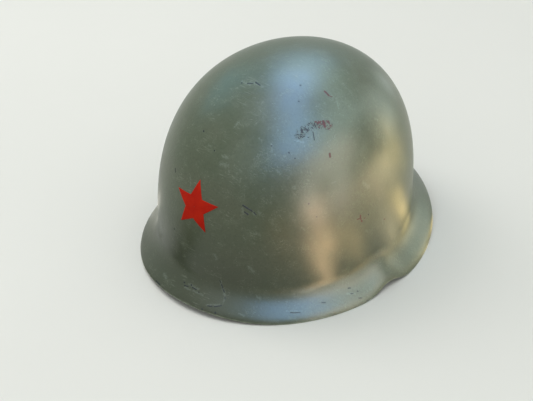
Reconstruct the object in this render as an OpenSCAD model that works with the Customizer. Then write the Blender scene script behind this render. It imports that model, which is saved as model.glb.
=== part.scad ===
// A two-piece combat helmet: a pressed steel shell that sits over a separate liner with its
// webbing, sweatband and leather chin strap. Millimetres. +Z is up, the front faces -Y and the
// wearer's left is +X. The origin lies on the floor, under the middle of the helmet.

/* [Steel shell] */
// Height of the crown above the floor
crown_h = 174; // [165:1:185]
// Reach of the dome ahead of its centre, above the brim
dome_front = 121; // [116:0.5:126]
// Reach of the dome behind its centre, above the brim
dome_back = 124; // [119:0.5:129]
// Half width of the dome, above the brim
dome_side = 100.5; // [97:0.5:105]
// Thickness of the pressed steel
steel_t = 1.2; // [0.9:0.1:1.5]
// Roundness of the crown, where 2 is a true ellipse
crown_power = 2.15; // [2:0.05:2.4]
// Steepness of the walls, where 2 is a true ellipse
wall_power = 2.7; // [2.4:0.05:3]
// Amount the wall widens between the waist and the rim
taper = 3.2; // [2:0.1:4.5]

/* [Brim] */
// Width of the visor ahead of the wall
flare_front = 12.5; // [10:0.5:15]
// Width of the brim at the temples
flare_temple = 14.5; // [12:0.5:17]
// Width of the brim just behind the ears
flare_ear = 16.5; // [14:0.5:19]
// Width of the brim at the nape
flare_nape = 18.5; // [16:0.5:21]
// Height over which the visor turns out
flare_h_front = 28; // [25:0.5:31]
// Height over which the side brim turns out
flare_h_side = 27; // [24:0.5:30]
// Height over which the nape brim turns out
flare_h_back = 36; // [32:0.5:40]
// Height of the visor's edge above the floor
visor_lift = 5; // [3:0.5:8]
// Height of the nape's edge above the floor
nape_lift = 15; // [11:0.5:18]
// Height of the notch in the rim at the ear
ear_lift = 5.4; // [3:0.2:7]
// Depth that the brim is drawn in at the ear
ear_in = 3; // [1:0.5:4]
// Place of the ear notch, in degrees round from the front
ear_at = 87.5; // [82:0.5:92]
// Half width of the ear notch, in degrees
ear_w = 7; // [5:0.5:10]

/* [Star] */
// Radius of the star's points
star_r = 22; // [18:0.5:28]
// Height of the star's centre
star_z = 88; // [80:1:96]
// Thickness of the star
star_t = 0.3; // [0.2:0.05:0.6]

/* [Bales] */
// Height at which the bale brackets are welded inside the brim
bale_z = 13.5; // [13.25:0.25:14.25]
// Place of the bales, in degrees round from the front
bale_at = 89; // [88:0.5:90]
// Width of a bale between its side wires
bale_w = 22; // [18:1:24]
// Depth of a bale between its pivot and its far wire
bale_depth = 9; // [7.5:0.5:9]
// Thickness of the bale's wire
wire_d = 2.5; // [2:0.1:2.6]

/* [Liner] */
// Free space between the steel shell and the liner
shell_gap = 1.8; // [1.7:0.1:2.2]
// Thickness of the moulded liner
liner_t = 2.6; // [2:0.1:3]
// Height of the liner's edge above the shell's rim
liner_edge = 12; // [11:0.5:14]
// Height of the rivets that carry the head webbing
rivet_z = 66; // [64:1:70]
// Space between the liner's crown and the crossing webs
crown_space = 18; // [14:1:24]

/* [Webbing and sweatband] */
// Thickness of the cotton web
web_t = 1.2; // [1:0.1:1.4]
// Width of the crown webs
crown_web_w = 22; // [18:1:24]
// Height of the head web
head_web_h = 24; // [22:1:26]
// Amount the head web bows in between its rivets
head_web_bow = 4; // [3.5:0.5:5]
// Height of the sweatband
sweat_h = 36; // [32:1:38]
// Thickness of the sweatband at its edges
sweat_t = 2.4; // [2:0.1:3]
// Extra thickness of the padded middle of the sweatband
sweat_pad = 1.6; // [1:0.1:2.5]
// Height of the nape web
nape_web_h = 14; // [12:1:15]

/* [Chin strap] */
// Width of the leather strap
strap_w = 15; // [13:0.5:17]
// Thickness of the leather strap
strap_t = 2; // [1.6:0.1:2.2]
// Height of the studs that the strap swings on
stud_z = 34; // [32:0.5:36]
// Radius of the stud's neck
stud_r = 3; // [2.6:0.1:3.4]
// Length of the strap's leaning leg
strap_leg = 60; // [56:1:64]
// Radius of the strap's curve under the chin
strap_curve = 34; // [30:1:38]

/* [Hidden] */

// Counts of facets
round_n = 48;
shell_cols = 80;
shell_dome_rows = 14;
shell_brim_rows = 9;
row_bias = 1.3;     // above 1, the dome's rows lie closer towards the waist
liner_cols = 60;
liner_dome_rows = 12;
liner_brim_rows = 5;
band_cols = 72;

// Small clearances
seat = 0.15;        // between a part and what it is seated on
pivot_gap = 0.06;   // radial play of a part that turns on a pin
hole_gap = 0.1;     // radial play of a rivet in its hole
hole_past = 8;      // how far a hole's cutter runs past the wall at each end
hole_turn = 40;     // turns a hole's seam away from the wall's own edges
cut_past = 1;       // how far a cutter runs past the faces it opens
eps = 0.01;

// Brim curve: how sharply it leaves the wall and rolls over to its edge
flare_start = 2.5;
flare_roll = 2;
visor_arc = 45;     // the visor lifts ahead of this angle
nape_arc = 108;     // the nape lifts behind this angle
ear_step = 10;      // half width of the step from the temple brim to the nape brim

liner_out = steel_t + shell_gap;
liner_in = liner_out + liner_t;
dome_y = ((dome_front + flare_front) - (dome_back + flare_nape)) / 2;

// Rivets
rivet_r = 1.8;
rivet_head_r = 5;
rivet_head_t = 1;
clinch_r = 3.4;
clinch_t = 1;
rivet_az = [26, 90, 154, 206, 270, 334];
a_washer_t = 0.9;
a_washer_h = 23;
a_washer_top = 9;
a_washer_foot = 16;
flat_sag = 1.1;     // a flat plate this far off a curved band touches it with its edges

// Layers on the liner's wall at a head rivet, as distances in from the wall
head_web_lo_z = rivet_z - head_web_h / 2;
head_web_hi_z = rivet_z + head_web_h / 2;
strap_seat = 0.9;
band_gap = 0.35;
head_web_lo_in = strap_seat + web_t + band_gap;
head_web_tilt = 2.2;
head_web_hi_in = head_web_lo_in + head_web_tilt;
a_washer_in = (head_web_lo_in + head_web_hi_in) / 2 + web_t + flat_sag;
sweat_gap = 0.25;
slide_wall = 1;
sweat_in = head_web_hi_in + head_web_bow + web_t + slide_wall + 2 * band_gap;
sweat_lo_z = head_web_hi_z - sweat_h;

// Nape web
nape_below = 2;     // gap between the head web and the nape web
nape_top = head_web_lo_z - nape_below;
nape_lo = nape_top - nape_web_h;
nape_steps = 40;
nape_head_r = 3.5;
nape_in = 0.6;
nape_bow = 6;
nape_side_at = 132;
nape_end = 7;
nape_side_z = 45;
nape_mid_z = 49.5;
nape_washer_r = 6;
nape_washer_t = 0.8;

// Sweatband slide
slide_len = 12;
slide_travel = 4;

// Chin strap
stud_head_r = 5;
stud_flange_r = 6;
stud_flange_t = 2;
stud_button_r = 4.8;
stud_button_t = 1.2;
hook_t = 1.2;
hook_r = 6.5;
hook_len = 18;
hook_w = strap_w + 2;
strap_lean = 42;
strap_start = 9;    // where the leather starts, down from the stud
strap_straight = 18;
strap_bend = 20;
floor_gap = 0.3;
layer_gap = 0.2;
web_layer_gap = 0.7;
hook_rivet_r = 1.4;
hook_rivet_head_r = 2.6;
hook_rivet_head_t = 0.8;

function clip01(x) = min(1, max(0, x));
function smooth(x) = let (c = clip01(x)) c * c * (3 - 2 * c);
function round_from_front(phi) = let (a = phi - 360 * floor(phi / 360)) a > 180 ? 360 - a : a;
function by_side(phi, front, side, back) =
    let (c = cos(phi), s = sin(phi)) (c > 0 ? front : back) * c * c + side * s * s;

// The wall stands straight at this height
waist_front = 28;
waist_side = 32;
waist_back = 41;
function waist(phi) = by_side(phi, waist_front, waist_side, waist_back);
function flare_h(phi) = by_side(phi, flare_h_front, flare_h_side, flare_h_back);
function dome_reach(phi) = cos(phi) > 0 ? dome_front : dome_back;
function ear(phi) = exp(-pow((round_from_front(phi) - ear_at) / ear_w, 2));
function rim_z(phi) =
    visor_lift * pow(clip01((cos(phi) - cos(visor_arc)) / (1 - cos(visor_arc))), 2)
    + nape_lift * pow(clip01((cos(nape_arc) - cos(phi)) / (1 + cos(nape_arc))), 2)
    + ear_lift * ear(phi);
function flare(phi) =
    let (s2 = pow(sin(phi), 2),
         back = smooth((round_from_front(phi) - ear_at + ear_step) / (2 * ear_step)),
         ahead = flare_front * (1 - s2) + flare_temple * s2,
         behind = flare_nape * (1 - s2) + flare_ear * s2)
    ahead * (1 - back) + behind * back - ear_in * ear(phi);

// Outward direction of the outline, seen from above
function outward(phi) =
    let (n = [sin(phi) / dome_side, -cos(phi) / dome_reach(phi), 0]) n / norm(n);

// A point of the shell's outer face. t runs from 0 at the crown to 1 at the waist and 2 at the rim.
function shell_point(phi, t) =
    let (w = waist(phi), r = rim_z(phi), a = 90 * min(t, 1), s = max(0, t - 1),
         z = t <= 1 ? w + (crown_h - w) * pow(cos(a), 2 / wall_power) : w + (r - w) * s,
         u = clip01((r + flare_h(phi) - z) / flare_h(phi)),
         out = flare(phi) * (1 - pow(1 - pow(u, flare_start), flare_roll)) + taper * s * s,
         rho = pow(sin(a), 2 / crown_power), n = outward(phi))
    [dome_side * sin(phi) * rho + n.x * out,
     -dome_reach(phi) * cos(phi) * rho + n.y * out + dome_y, z];
function shell_normal(phi, t) =
    t > 2 - eps ? outward(phi)
    : let (d_phi = 0.2, d_t = 0.002,
           n = cross(shell_point(phi, t + d_t) - shell_point(phi, t - d_t),
                     shell_point(phi + d_phi, t) - shell_point(phi - d_phi, t)))
      n / norm(n);
function inside_point(phi, t, depth) =
    t == 0 ? [0, dome_y, crown_h - depth] : shell_point(phi, t) - depth * shell_normal(phi, t);
function t_at(phi, z) =
    let (w = waist(phi))
    z > w ? acos(pow((z - w) / (crown_h - w), wall_power / 2)) / 90 : 1 + (w - z) / (w - rim_z(phi));

// A point in from the liner's inner wall, seen from above, at a given height
function wall_point(phi, z, inset) =
    let (p = shell_point(phi, t_at(phi, z)) - (liner_in + inset) * outward(phi)) [p.x, p.y, z];
// The outline angle that lies in a given direction from the dome's centre
function phi_toward(az) =
    atan2(sin(az) / dome_side, cos(az) / (cos(az) > 0 ? dome_front : dome_back));

// Curved skins and bands
function skin_points(depth, cols, dome_rows, brim_rows, edge) =
    [for (k = [0:dome_rows + brim_rows], i = [0:k == 0 ? 0 : cols - 1])
        let (phi = 360 * i / cols,
             join = max(waist(phi), rim_z(phi) + flare_h(phi)),
             z = join + (rim_z(phi) + edge - join) * (k - dome_rows) / brim_rows,
             t = k > dome_rows ? t_at(phi, z)
                 : t_at(phi, join) * (1 - pow(1 - k / dome_rows, row_bias)))
        inside_point(phi, t, depth)];
function skin_faces(cols, rows) =
    let (n = 1 + cols * rows,
         at = function(k, i, s) s * n + (k == 0 ? 0 : 1 + (k - 1) * cols + i % cols))
    [for (i = [0:cols - 1]) each concat(
        [[at(0, 0, 0), at(1, i + 1, 0), at(1, i, 0)], [at(0, 0, 1), at(1, i, 1), at(1, i + 1, 1)],
         [at(rows, i, 0), at(rows, i + 1, 0), at(rows, i + 1, 1)],
         [at(rows, i, 0), at(rows, i + 1, 1), at(rows, i, 1)]],
        [for (k = [1:rows - 1]) each
            [[at(k, i, 0), at(k, i + 1, 0), at(k + 1, i + 1, 0)],
             [at(k, i, 0), at(k + 1, i + 1, 0), at(k + 1, i, 0)],
             [at(k, i, 1), at(k + 1, i + 1, 1), at(k, i + 1, 1)],
             [at(k, i, 1), at(k + 1, i, 1), at(k + 1, i + 1, 1)]]])];
module skin(outer, inner, cols, dome_rows, brim_rows, edge)
    polyhedron(concat(skin_points(outer, cols, dome_rows, brim_rows, edge),
                      skin_points(inner, cols, dome_rows, brim_rows, edge)),
               skin_faces(cols, dome_rows + brim_rows), convexity = 6);

// A solid through a row of closed outlines, each a list of points in the same order
module swept(outlines, ring = false) {
    n = len(outlines);
    m = len(outlines[0]);
    sides = [for (i = [0:ring ? n - 1 : n - 2], j = [0:m - 1])
        let (a = i * m + j, b = i * m + (j + 1) % m, c = ((i + 1) % n) * m + (j + 1) % m,
             d = ((i + 1) % n) * m + j)
        each [[a, b, c], [a, c, d]]];
    ends = ring ? [] : [for (j = [1:m - 2])
        each [[0, j + 1, j], [(n - 1) * m, (n - 1) * m + j, (n - 1) * m + j + 1]]];
    polyhedron([for (o = outlines) each o], concat(sides, ends), convexity = 6);
}

// Puts its children on the shell's outer face, with +Z pointing straight out and -X up the wall
module on_wall(phi, z) {
    t = t_at(phi, z);
    n = shell_normal(phi, t);
    translate(shell_point(phi, t)) rotate([0, acos(n.z), atan2(n.y, n.x)]) children();
}
// A rivet through the liner, with its head outside and its clinched end inset from the wall
module wall_rivet(clinch_in, head_r) {
    shank = liner_t + clinch_in + seat + rivet_head_t / 2;
    translate([0, 0, -liner_out + seat]) cylinder(h = rivet_head_t, r = head_r, $fn = round_n);
    translate([0, 0, -liner_in - clinch_in]) cylinder(h = shank, r = rivet_r, $fn = round_n);
    translate([0, 0, -liner_in - clinch_in - clinch_t])
        cylinder(h = clinch_t, r = clinch_r, $fn = round_n);
}
module rivet_hole()
    rotate(hole_turn) translate([0, 0, -liner_in - hole_past])
        cylinder(h = liner_t + 2 * hole_past, r = rivet_r + hole_gap, $fn = round_n);

nape_rivets_at = [[nape_side_at, nape_side_z], [180, nape_mid_z], [360 - nape_side_at, nape_side_z]];
module at_head_rivets() for (az = rivet_az) on_wall(phi_toward(az), rivet_z) children();
module at_nape_rivets() for (p = nape_rivets_at) on_wall(p[0], p[1]) children();

// Steel shell and its painted star
module steel_shell()
    color("darkolivegreen")
    skin(0, steel_t, shell_cols, shell_dome_rows, shell_brim_rows, 0);

star_inner = 0.45;
star_steps = 3;
star_lift = 0.12;
function front_height_at(z) =
    let (c = pow((z - waist_front) / (crown_h - waist_front), wall_power / 2))
    pow(1 - c * c, 1 / crown_power);
// Where a flat point of the star lies on the curved front, lifted off it
function on_front(p, lift) =
    let (z = star_z + p.y, rho = front_height_at(z), phi = asin(p.x / (dome_side * rho)),
         t = t_at(phi, z))
    shell_point(phi, t) + lift * shell_normal(phi, t);
function star_corner(k) =
    let (r = star_r * (k % 2 == 0 ? 1 : star_inner), a = 90 - 36 * k) [r * cos(a), r * sin(a)];
function star_points(lift) = concat([on_front([0, 0], lift)],
    [for (ring = [1:star_steps], k = [0:9], j = [0:ring - 1])
        on_front((star_corner(k) * (ring - j) + star_corner(k + 1) * j) / star_steps, lift)]);
module front_star() {
    base = function(ring) 1 + 5 * ring * (ring - 1);
    at = function(ring, i) ring == 0 ? 0 : base(ring) + i % (10 * ring);
    n = base(star_steps + 1);
    front = [for (ring = [1:star_steps], k = [0:9], j = [0:ring - 1])
        let (out = k * ring + j, in = k * (ring - 1) + j)
        each concat([[at(ring, out), at(ring, out + 1), at(ring - 1, in)]],
            j > ring - 2 ? [] : [[at(ring - 1, in), at(ring, out + 1), at(ring - 1, in + 1)]])];
    edge = [for (i = [0:10 * star_steps - 1])
        let (a = at(star_steps, i), b = at(star_steps, i + 1))
        each [[b, a, a + n], [b, a + n, b + n]]];
    back = [for (f = front) [f[0] + n, f[2] + n, f[1] + n]];
    color("firebrick")
    polyhedron(concat(star_points(star_lift + star_t), star_points(star_lift)),
        concat(front, back, edge), convexity = 4);
}

// Bales: wire loops that turn in sleeves welded inside the brim, one at each ear
wire_r = wire_d / 2;
sleeve_t = 1;
sleeve_len = 10;
sleeve_seat = 0.45;
sleeve_r = wire_r + pivot_gap + sleeve_t;
bale_t = t_at(bale_at, bale_z);
bale_pivot = shell_point(bale_at, bale_t)
    - (steel_t + sleeve_seat + sleeve_r) * shell_normal(bale_at, bale_t);
module at_bale(side)
    translate([side * bale_pivot.x, bale_pivot.y, bale_pivot.z]) rotate([90, 0, 0]) children();
module bale_brackets()
    color("darkolivegreen")
    for (side = [-1, 1]) at_bale(side) difference() {
        cylinder(h = sleeve_len, r = sleeve_r, center = true, $fn = round_n);
        cylinder(h = sleeve_len + 2 * cut_past, r = wire_r + pivot_gap, center = true, $fn = round_n);
    }
module bale(side)
    color("dimgray")
    at_bale(side) {
        for (y = [0, -bale_depth]) translate([0, y, 0])
            cylinder(h = bale_w, r = wire_r, center = true, $fn = round_n);
        for (z = [-bale_w / 2, bale_w / 2]) translate([0, 0, z]) {
            rotate([90, 0, 0]) cylinder(h = bale_depth, r = wire_r, $fn = round_n);
            sphere(r = wire_r, $fn = round_n);
            translate([0, -bale_depth, 0]) sphere(r = wire_r, $fn = round_n);
        }
    }
module bale_left() bale(1);
module bale_right() bale(-1);

// Liner
module liner_shell()
    color("olivedrab")
    difference() {
        skin(liner_out, liner_in, liner_cols, liner_dome_rows, liner_brim_rows, liner_edge);
        at_head_rivets() rivet_hole();
        at_nape_rivets() rivet_hole();
        translate([0, stud_y, stud_z]) rotate([0, 90, 0]) rotate(hole_turn)
            cylinder(h = 3 * dome_side, r = rivet_r + hole_gap, center = true, $fn = round_n);
    }

// Crown webs: three straps that cross under the crown, one on another
crown_top = crown_h - liner_in - crown_space;
function crown_reach(az) =
    let (a = dome_side - liner_in - strap_seat,
         b = (cos(az) > 0 ? dome_front : dome_back) - liner_in - strap_seat)
    1 / sqrt(pow(sin(az) / a, 2) + pow(cos(az) / b, 2));
crown_steps = 18;
function crown_line(az, depth, top) =
    let (w = waist(phi_toward(az)), reach = crown_reach(az) - depth, rise = top - depth - w,
         last = acos(pow((head_web_lo_z - w) / rise, wall_power / 2)))
    [for (k = [0:crown_steps]) let (a = last * k / crown_steps)
        [reach * pow(sin(a), 2 / crown_power), w + rise * pow(cos(a), 2 / wall_power)]];
// How far the wall's facing differs from the direction that it lies in
function wall_turn(az) = let (n = outward(phi_toward(az))) (atan2(n.x, -n.y) - az + 540) % 360 - 180;
// Sections of half a crown web, level across its width and turned to face the wall at its end
function web_sections(az, top, side) =
    let (outer = crown_line(az, 0, top), inner = crown_line(az, web_t, top))
    [for (k = [0:len(outer) - 1])
        let (turned = az + wall_turn(az) * smooth(outer[k].x / crown_reach(az)),
             across = side * crown_web_w / 2 * [cos(turned), sin(turned), 0],
             at = function(p) [p.x * sin(az), dome_y - p.x * cos(az), p.y])
        [at(outer[k]) - across, at(outer[k]) + across, at(inner[k]) + across, at(inner[k]) - across]];
module crown_web(az, layer) {
    top = crown_top - layer * (web_t + web_layer_gap);
    far = web_sections(az + 180, top, -1);
    near = web_sections(az, top, 1);
    color("khaki")
    difference() {
        swept(concat([for (k = [len(far) - 1:-1:1]) far[k]], near));
        for (a = [az, az + 180]) on_wall(phi_toward(a), rivet_z) rivet_hole();
    }
}
module crown_web_front_left() crown_web(rivet_az[0], 0);
module crown_web_side() crown_web(rivet_az[1], 1);
module crown_web_front_right() crown_web(rivet_az[5], 2);

// How far the head web has bowed in, from none at a rivet to the most between two
function az_of(phi) = let (p = shell_point(phi, 1) - [0, dome_y, 0]) atan2(p.x, -p.y);
function bow_at(phi) =
    let (a = round_from_front(az_of(phi)), side = rivet_az[1], f = rivet_az[0], b = rivet_az[2],
         x = a < f ? (f - a) / (2 * f) : a < side ? (a - f) / (side - f)
             : a < b ? (a - side) / (b - side) : (a - b) / (2 * (180 - b)))
    pow(sin(180 * x), 2);
module head_web()
    color("khaki")
    difference() {
        swept([for (i = [0:band_cols - 1])
            let (phi = 360 * i / band_cols, bow = head_web_bow * bow_at(phi))
            [wall_point(phi, head_web_lo_z, head_web_lo_in + bow),
             wall_point(phi, head_web_hi_z, head_web_hi_in + bow),
             wall_point(phi, head_web_hi_z, head_web_hi_in + bow + web_t),
             wall_point(phi, head_web_lo_z, head_web_lo_in + bow + web_t)]], ring = true);
        at_head_rivets() rivet_hole();
    }
module head_rivets()
    color("silver")
    at_head_rivets() wall_rivet(a_washer_in + a_washer_t + 3 * seat, rivet_head_r);
module a_washers()
    color("dimgray")
    at_head_rivets() translate([0, 0, -liner_in - a_washer_in])
        rotate([0, -atan(head_web_tilt / head_web_h), 0])
        translate([0, 0, -a_washer_t]) linear_extrude(a_washer_t) difference() {
            polygon([[-a_washer_h / 2, -a_washer_top / 2], [a_washer_h / 2, -a_washer_foot / 2],
                     [a_washer_h / 2, a_washer_foot / 2], [-a_washer_h / 2, a_washer_top / 2]]);
            circle(r = rivet_r + 4 * hole_gap, $fn = round_n);
        }

// Nape web, held by three rivets low at the back
function nape_bow_at(phi) =
    pow(sin(180 * (round_from_front(phi) - nape_side_at) / (180 - nape_side_at)), 2);
function nape_point(phi, z, inset) =
    let (p = wall_point(phi, nape_mid_z, inset)) [p.x, p.y, z];
module nape_web()
    color("khaki")
    difference() {
        swept([for (i = [0:nape_steps])
            let (phi = nape_side_at - nape_end + (360 - 2 * nape_side_at + 2 * nape_end) * i / nape_steps,
                 past = round_from_front(phi) < nape_side_at,
                 inset = nape_in + (past ? 0 : nape_bow * nape_bow_at(phi)))
            [nape_point(phi, nape_lo, inset), nape_point(phi, nape_top, inset),
             nape_point(phi, nape_top, inset + web_t), nape_point(phi, nape_lo, inset + web_t)]]);
        at_nape_rivets() rivet_hole();
    }
nape_washer_in = nape_in + web_t + flat_sag;
module nape_rivets()
    color("silver")
    at_nape_rivets() wall_rivet(nape_washer_in + nape_washer_t + seat, nape_head_r);
module nape_washers()
    color("dimgray")
    at_nape_rivets() translate([0, 0, -liner_in - nape_washer_in - nape_washer_t])
        linear_extrude(nape_washer_t) difference() {
            circle(r = nape_washer_r, $fn = round_n);
            circle(r = rivet_r + hole_gap, $fn = round_n);
        }

// Sweatband: leather with a padded middle, in a ring that clears the head web
sweat_rows = [0, 0.22, 0.5, 0.78, 1];
function sweat_plan(phi, z, inset) = let (p = wall_point(phi, head_web_hi_z, inset)) [p.x, p.y, z];
module sweatband()
    color("saddlebrown")
    swept([for (i = [0:band_cols - 1])
        let (phi = 360 * i / band_cols)
        concat([sweat_plan(phi, sweat_lo_z, sweat_in), sweat_plan(phi, head_web_hi_z, sweat_in)],
            [for (k = [len(sweat_rows) - 1:-1:0])
                let (v = sweat_rows[k])
                sweat_plan(phi, sweat_lo_z + sweat_h * v, sweat_in + sweat_t + sweat_pad * sin(180 * v))])],
        ring = true);

// Spring clips that hang the sweatband on the head web, halfway between the rivets
clip_az = [0, 58, 122, 238, 302];
clip_w = 10;
clip_h = 14;
clip_t = 0.6;
clip_gap = 0.35;
clip_boss_h = 6;
clip_boss_drop = 4;  // from the clip's top down to its boss
// The wall is this much wider at the head web's lower edge than at its upper edge
function wall_step(phi) =
    (wall_point(phi, head_web_lo_z, 0) - wall_point(phi, head_web_hi_z, 0)) * outward(phi);
module clip_profile(bow, step) {
    lean = (head_web_tilt + step) / head_web_h;
    web_out = head_web_lo_in + bow - step;
    web_in = web_out + web_t;
    lo = head_web_lo_z - clip_gap;
    top = head_web_lo_z + clip_h;
    boss_hi = top - clip_boss_drop;
    boss_lo = boss_hi - clip_boss_h;
    polygon([[web_out - clip_gap + lean * clip_h, top], [web_out - clip_gap, lo],
             [web_in + clip_gap, lo], [web_in + clip_gap + lean * clip_h, top],
             [web_in + clip_gap + clip_t + lean * clip_h, top],
             [sweat_in - sweat_gap, boss_hi], [sweat_in - sweat_gap, boss_lo],
             [web_in + clip_gap + clip_t, lo], [web_in + clip_gap + clip_t, lo - clip_t],
             [web_out - clip_gap - clip_t, lo - clip_t],
             [web_out - clip_gap - clip_t + lean * clip_h, top]]);
}
module sweatband_clips()
    color("silver")
    for (az = clip_az) {
        phi = phi_toward(az);
        n = outward(phi);
        p = wall_point(phi, head_web_hi_z, 0);
        translate([p.x, p.y, 0]) rotate([0, 0, atan2(n.y, n.x) + 180]) rotate([90, 0, 0])
            linear_extrude(clip_w, center = true)
                clip_profile(head_web_bow * bow_at(phi), wall_step(phi));
    }

// Metal slide on the sweatband at the nape, which sets the head size
back_curve_r = pow(dome_side - liner_in - sweat_in, 2) / (dome_back - liner_in - sweat_in);
slide_room = pow(slide_len / 2 + slide_travel, 2) / (2 * back_curve_r);
slide_depth = sweat_t + sweat_pad + slide_room + 2 * sweat_gap;
slide_y = wall_point(180, head_web_hi_z, sweat_in).y + sweat_gap;
module sweatband_slide() {
    h = sweat_h + 2 * sweat_gap;
    color("silver")
    translate([-slide_len / 2, slide_y - slide_depth, sweat_lo_z - sweat_gap])
        difference() {
            translate([0, -slide_wall, -slide_wall])
                cube([slide_len, slide_depth + 2 * slide_wall, h + 2 * slide_wall]);
            translate([-cut_past, 0, 0]) cube([slide_len + 2 * cut_past, slide_depth, h]);
        }
}

// Chin strap. It is drawn as a U that hangs from the studs along -Y, then turned up to lie
// stowed under the visor, with its far end just clear of the floor.
stud_x = dome_side;
stud_y = dome_y;
hook_in = liner_in + 2 * seat + stud_flange_t + layer_gap;
strap_in = hook_in + hook_t + layer_gap;
strap_mid = strap_in + strap_t / 2;

// Distances along half of the strap, from the stud to the middle under the chin
bend_end = strap_straight + strap_bend * strap_lean * PI / 180;
leg_end = bend_end + strap_leg;
curve_end = leg_end + strap_curve * (90 - strap_lean) * PI / 180;
bend_c = [stud_x - strap_mid - strap_bend, -strap_straight];
leg_top = bend_c + strap_bend * [cos(strap_lean), -sin(strap_lean)];
curve_c = leg_top - strap_leg * [sin(strap_lean), cos(strap_lean)]
    - strap_curve * [cos(strap_lean), -sin(strap_lean)];
strap_half_len = curve_end + curve_c.x;
strap_depth = strap_curve - curve_c.y;
strap_tip = norm([strap_depth + strap_t / 2, strap_w / 2]);
stow = asin((stud_z - floor_gap) / strap_tip) - atan(strap_w / 2 / (strap_depth + strap_t / 2));

// A point of the strap's line with its heading, a distance down from the stud
function strap_at(d) =
    d < strap_straight ? [stud_x - strap_mid, -d, 0]
    : d < bend_end ? let (a = (d - strap_straight) / strap_bend * 180 / PI)
        [bend_c.x + strap_bend * cos(a), bend_c.y - strap_bend * sin(a), a]
    : d < leg_end ? let (p = leg_top - (d - bend_end) * [sin(strap_lean), cos(strap_lean)])
        [p.x, p.y, strap_lean]
    : d < curve_end ? let (a = strap_lean + (d - leg_end) / strap_curve * 180 / PI)
        [curve_c.x + strap_curve * cos(a), curve_c.y - strap_curve * sin(a), a]
    : [curve_c.x - (d - curve_end), -strap_depth, 90];
bend_steps = 4;
curve_steps = 14;
strap_stops = concat(
    [for (k = [0:bend_steps]) strap_straight + (bend_end - strap_straight) * k / bend_steps],
    [for (k = [0:curve_steps]) leg_end + (curve_end - leg_end) * k / curve_steps]);
function stops(from, to) = concat([from], [for (d = strap_stops) if (d > from && d < to) d], [to]);
function strap_side(d, out) = let (p = strap_at(d)) [p.x + out * cos(p[2]), p.y - out * sin(p[2])];

module in_stowed_strap() translate([0, stud_y, stud_z]) rotate([stow, 0, 0]) children();
module strap_band(outer, inner)
    in_stowed_strap() linear_extrude(strap_w, center = true)
        polygon(concat(outer, [for (k = [len(inner) - 1:-1:0]) inner[k]]));

// The long strap is riveted at the right, and its tail runs outside the short strap at the left
tail_from = 35;
tail_shift = strap_t + layer_gap;
function tail_out(d) = tail_shift * smooth((curve_end - d) / (curve_end - leg_end));
function long_side(out) = let (left = stops(tail_from, strap_half_len)) concat(
    [for (d = stops(strap_start, strap_half_len)) let (p = strap_side(d, out)) [-p.x, p.y]],
    [for (k = [len(left) - 2:-1:0]) strap_side(left[k], out + tail_out(left[k]))]);
module chin_strap_long()
    color("sienna")
    difference() {
        strap_band(long_side(strap_t / 2), long_side(-strap_t / 2));
        at_hook_rivets(-1) hook_rivet_hole();
    }
// The short strap is riveted to the left hook and ends in the buckle
buckle_at = 70;
buckle_len = 12;
buckle_wall = 1.2;
strap_end_past = 2;  // the short strap ends this far past the buckle's middle
module chin_strap_short() {
    line = stops(strap_start, buckle_at + strap_end_past);
    color("sienna")
    difference() {
        strap_band([for (d = line) strap_side(d, strap_t / 2)], [for (d = line) strap_side(d, -strap_t / 2)]);
        at_hook_rivets(1) hook_rivet_hole();
    }
}

// Studs through the liner, and the hooks that turn on them
module stud_disc(from, h, r) translate([0, 0, from]) cylinder(h = h, r = r, $fn = round_n);
module chin_studs() {
    head_in = liner_out - seat - rivet_head_t;
    flange_in = liner_in + 2 * seat;
    button_in = hook_in + hook_t + layer_gap;
    color("silver")
    for (side = [-1, 1]) translate([side * stud_x, stud_y, stud_z]) rotate([0, -90 * side, 0]) {
        stud_disc(head_in, rivet_head_t, stud_head_r);
        stud_disc(head_in + rivet_head_t / 2, flange_in - head_in, rivet_r);
        stud_disc(flange_in, stud_flange_t, stud_flange_r);
        stud_disc(flange_in, button_in + stud_button_t - flange_in, stud_r);
        stud_disc(button_in, stud_button_t, stud_button_r);
    }
}
hook_rivet_y = 14;
hook_rivet_places = [-4, 4];
module hook(side)
    color("silver")
    in_stowed_strap() translate([side * (stud_x - hook_in - hook_t / 2), 0, 0]) rotate([0, 90, 0])
        linear_extrude(hook_t, center = true) difference() {
            union() {
                circle(r = hook_r, $fn = round_n);
                translate([-hook_r, -hook_r - 1]) square([2 * hook_r, hook_r + 1]);
                translate([-hook_w / 2, -hook_len]) square([hook_w, hook_len - hook_r]);
            }
            circle(r = stud_r + pivot_gap, $fn = round_n);
            for (w = hook_rivet_places) translate([w, -hook_rivet_y])
                circle(r = hook_rivet_r + hole_gap, $fn = round_n);
        }
module strap_hook_left() hook(1);
module strap_hook_right() hook(-1);
module at_hook_rivets(side)
    in_stowed_strap() for (w = hook_rivet_places)
        translate([side * (stud_x - hook_in), -hook_rivet_y, w]) rotate([0, -90 * side, 0]) children();
module hook_rivet_hole()
    translate([0, 0, -cut_past])
        cylinder(h = hook_t + layer_gap + strap_t + 2 * cut_past, r = hook_rivet_r + hole_gap, $fn = round_n);
module hook_rivets() {
    reach = hook_t + layer_gap + strap_t;
    color("silver")
    for (side = [-1, 1]) at_hook_rivets(side) {
        stud_disc(-seat - hook_rivet_head_t, hook_rivet_head_t, hook_rivet_head_r);
        stud_disc(-seat - hook_rivet_head_t / 2, reach + 2 * seat + hook_rivet_head_t, hook_rivet_r);
        stud_disc(reach + seat, hook_rivet_head_t, hook_rivet_head_r);
    }
}

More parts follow.
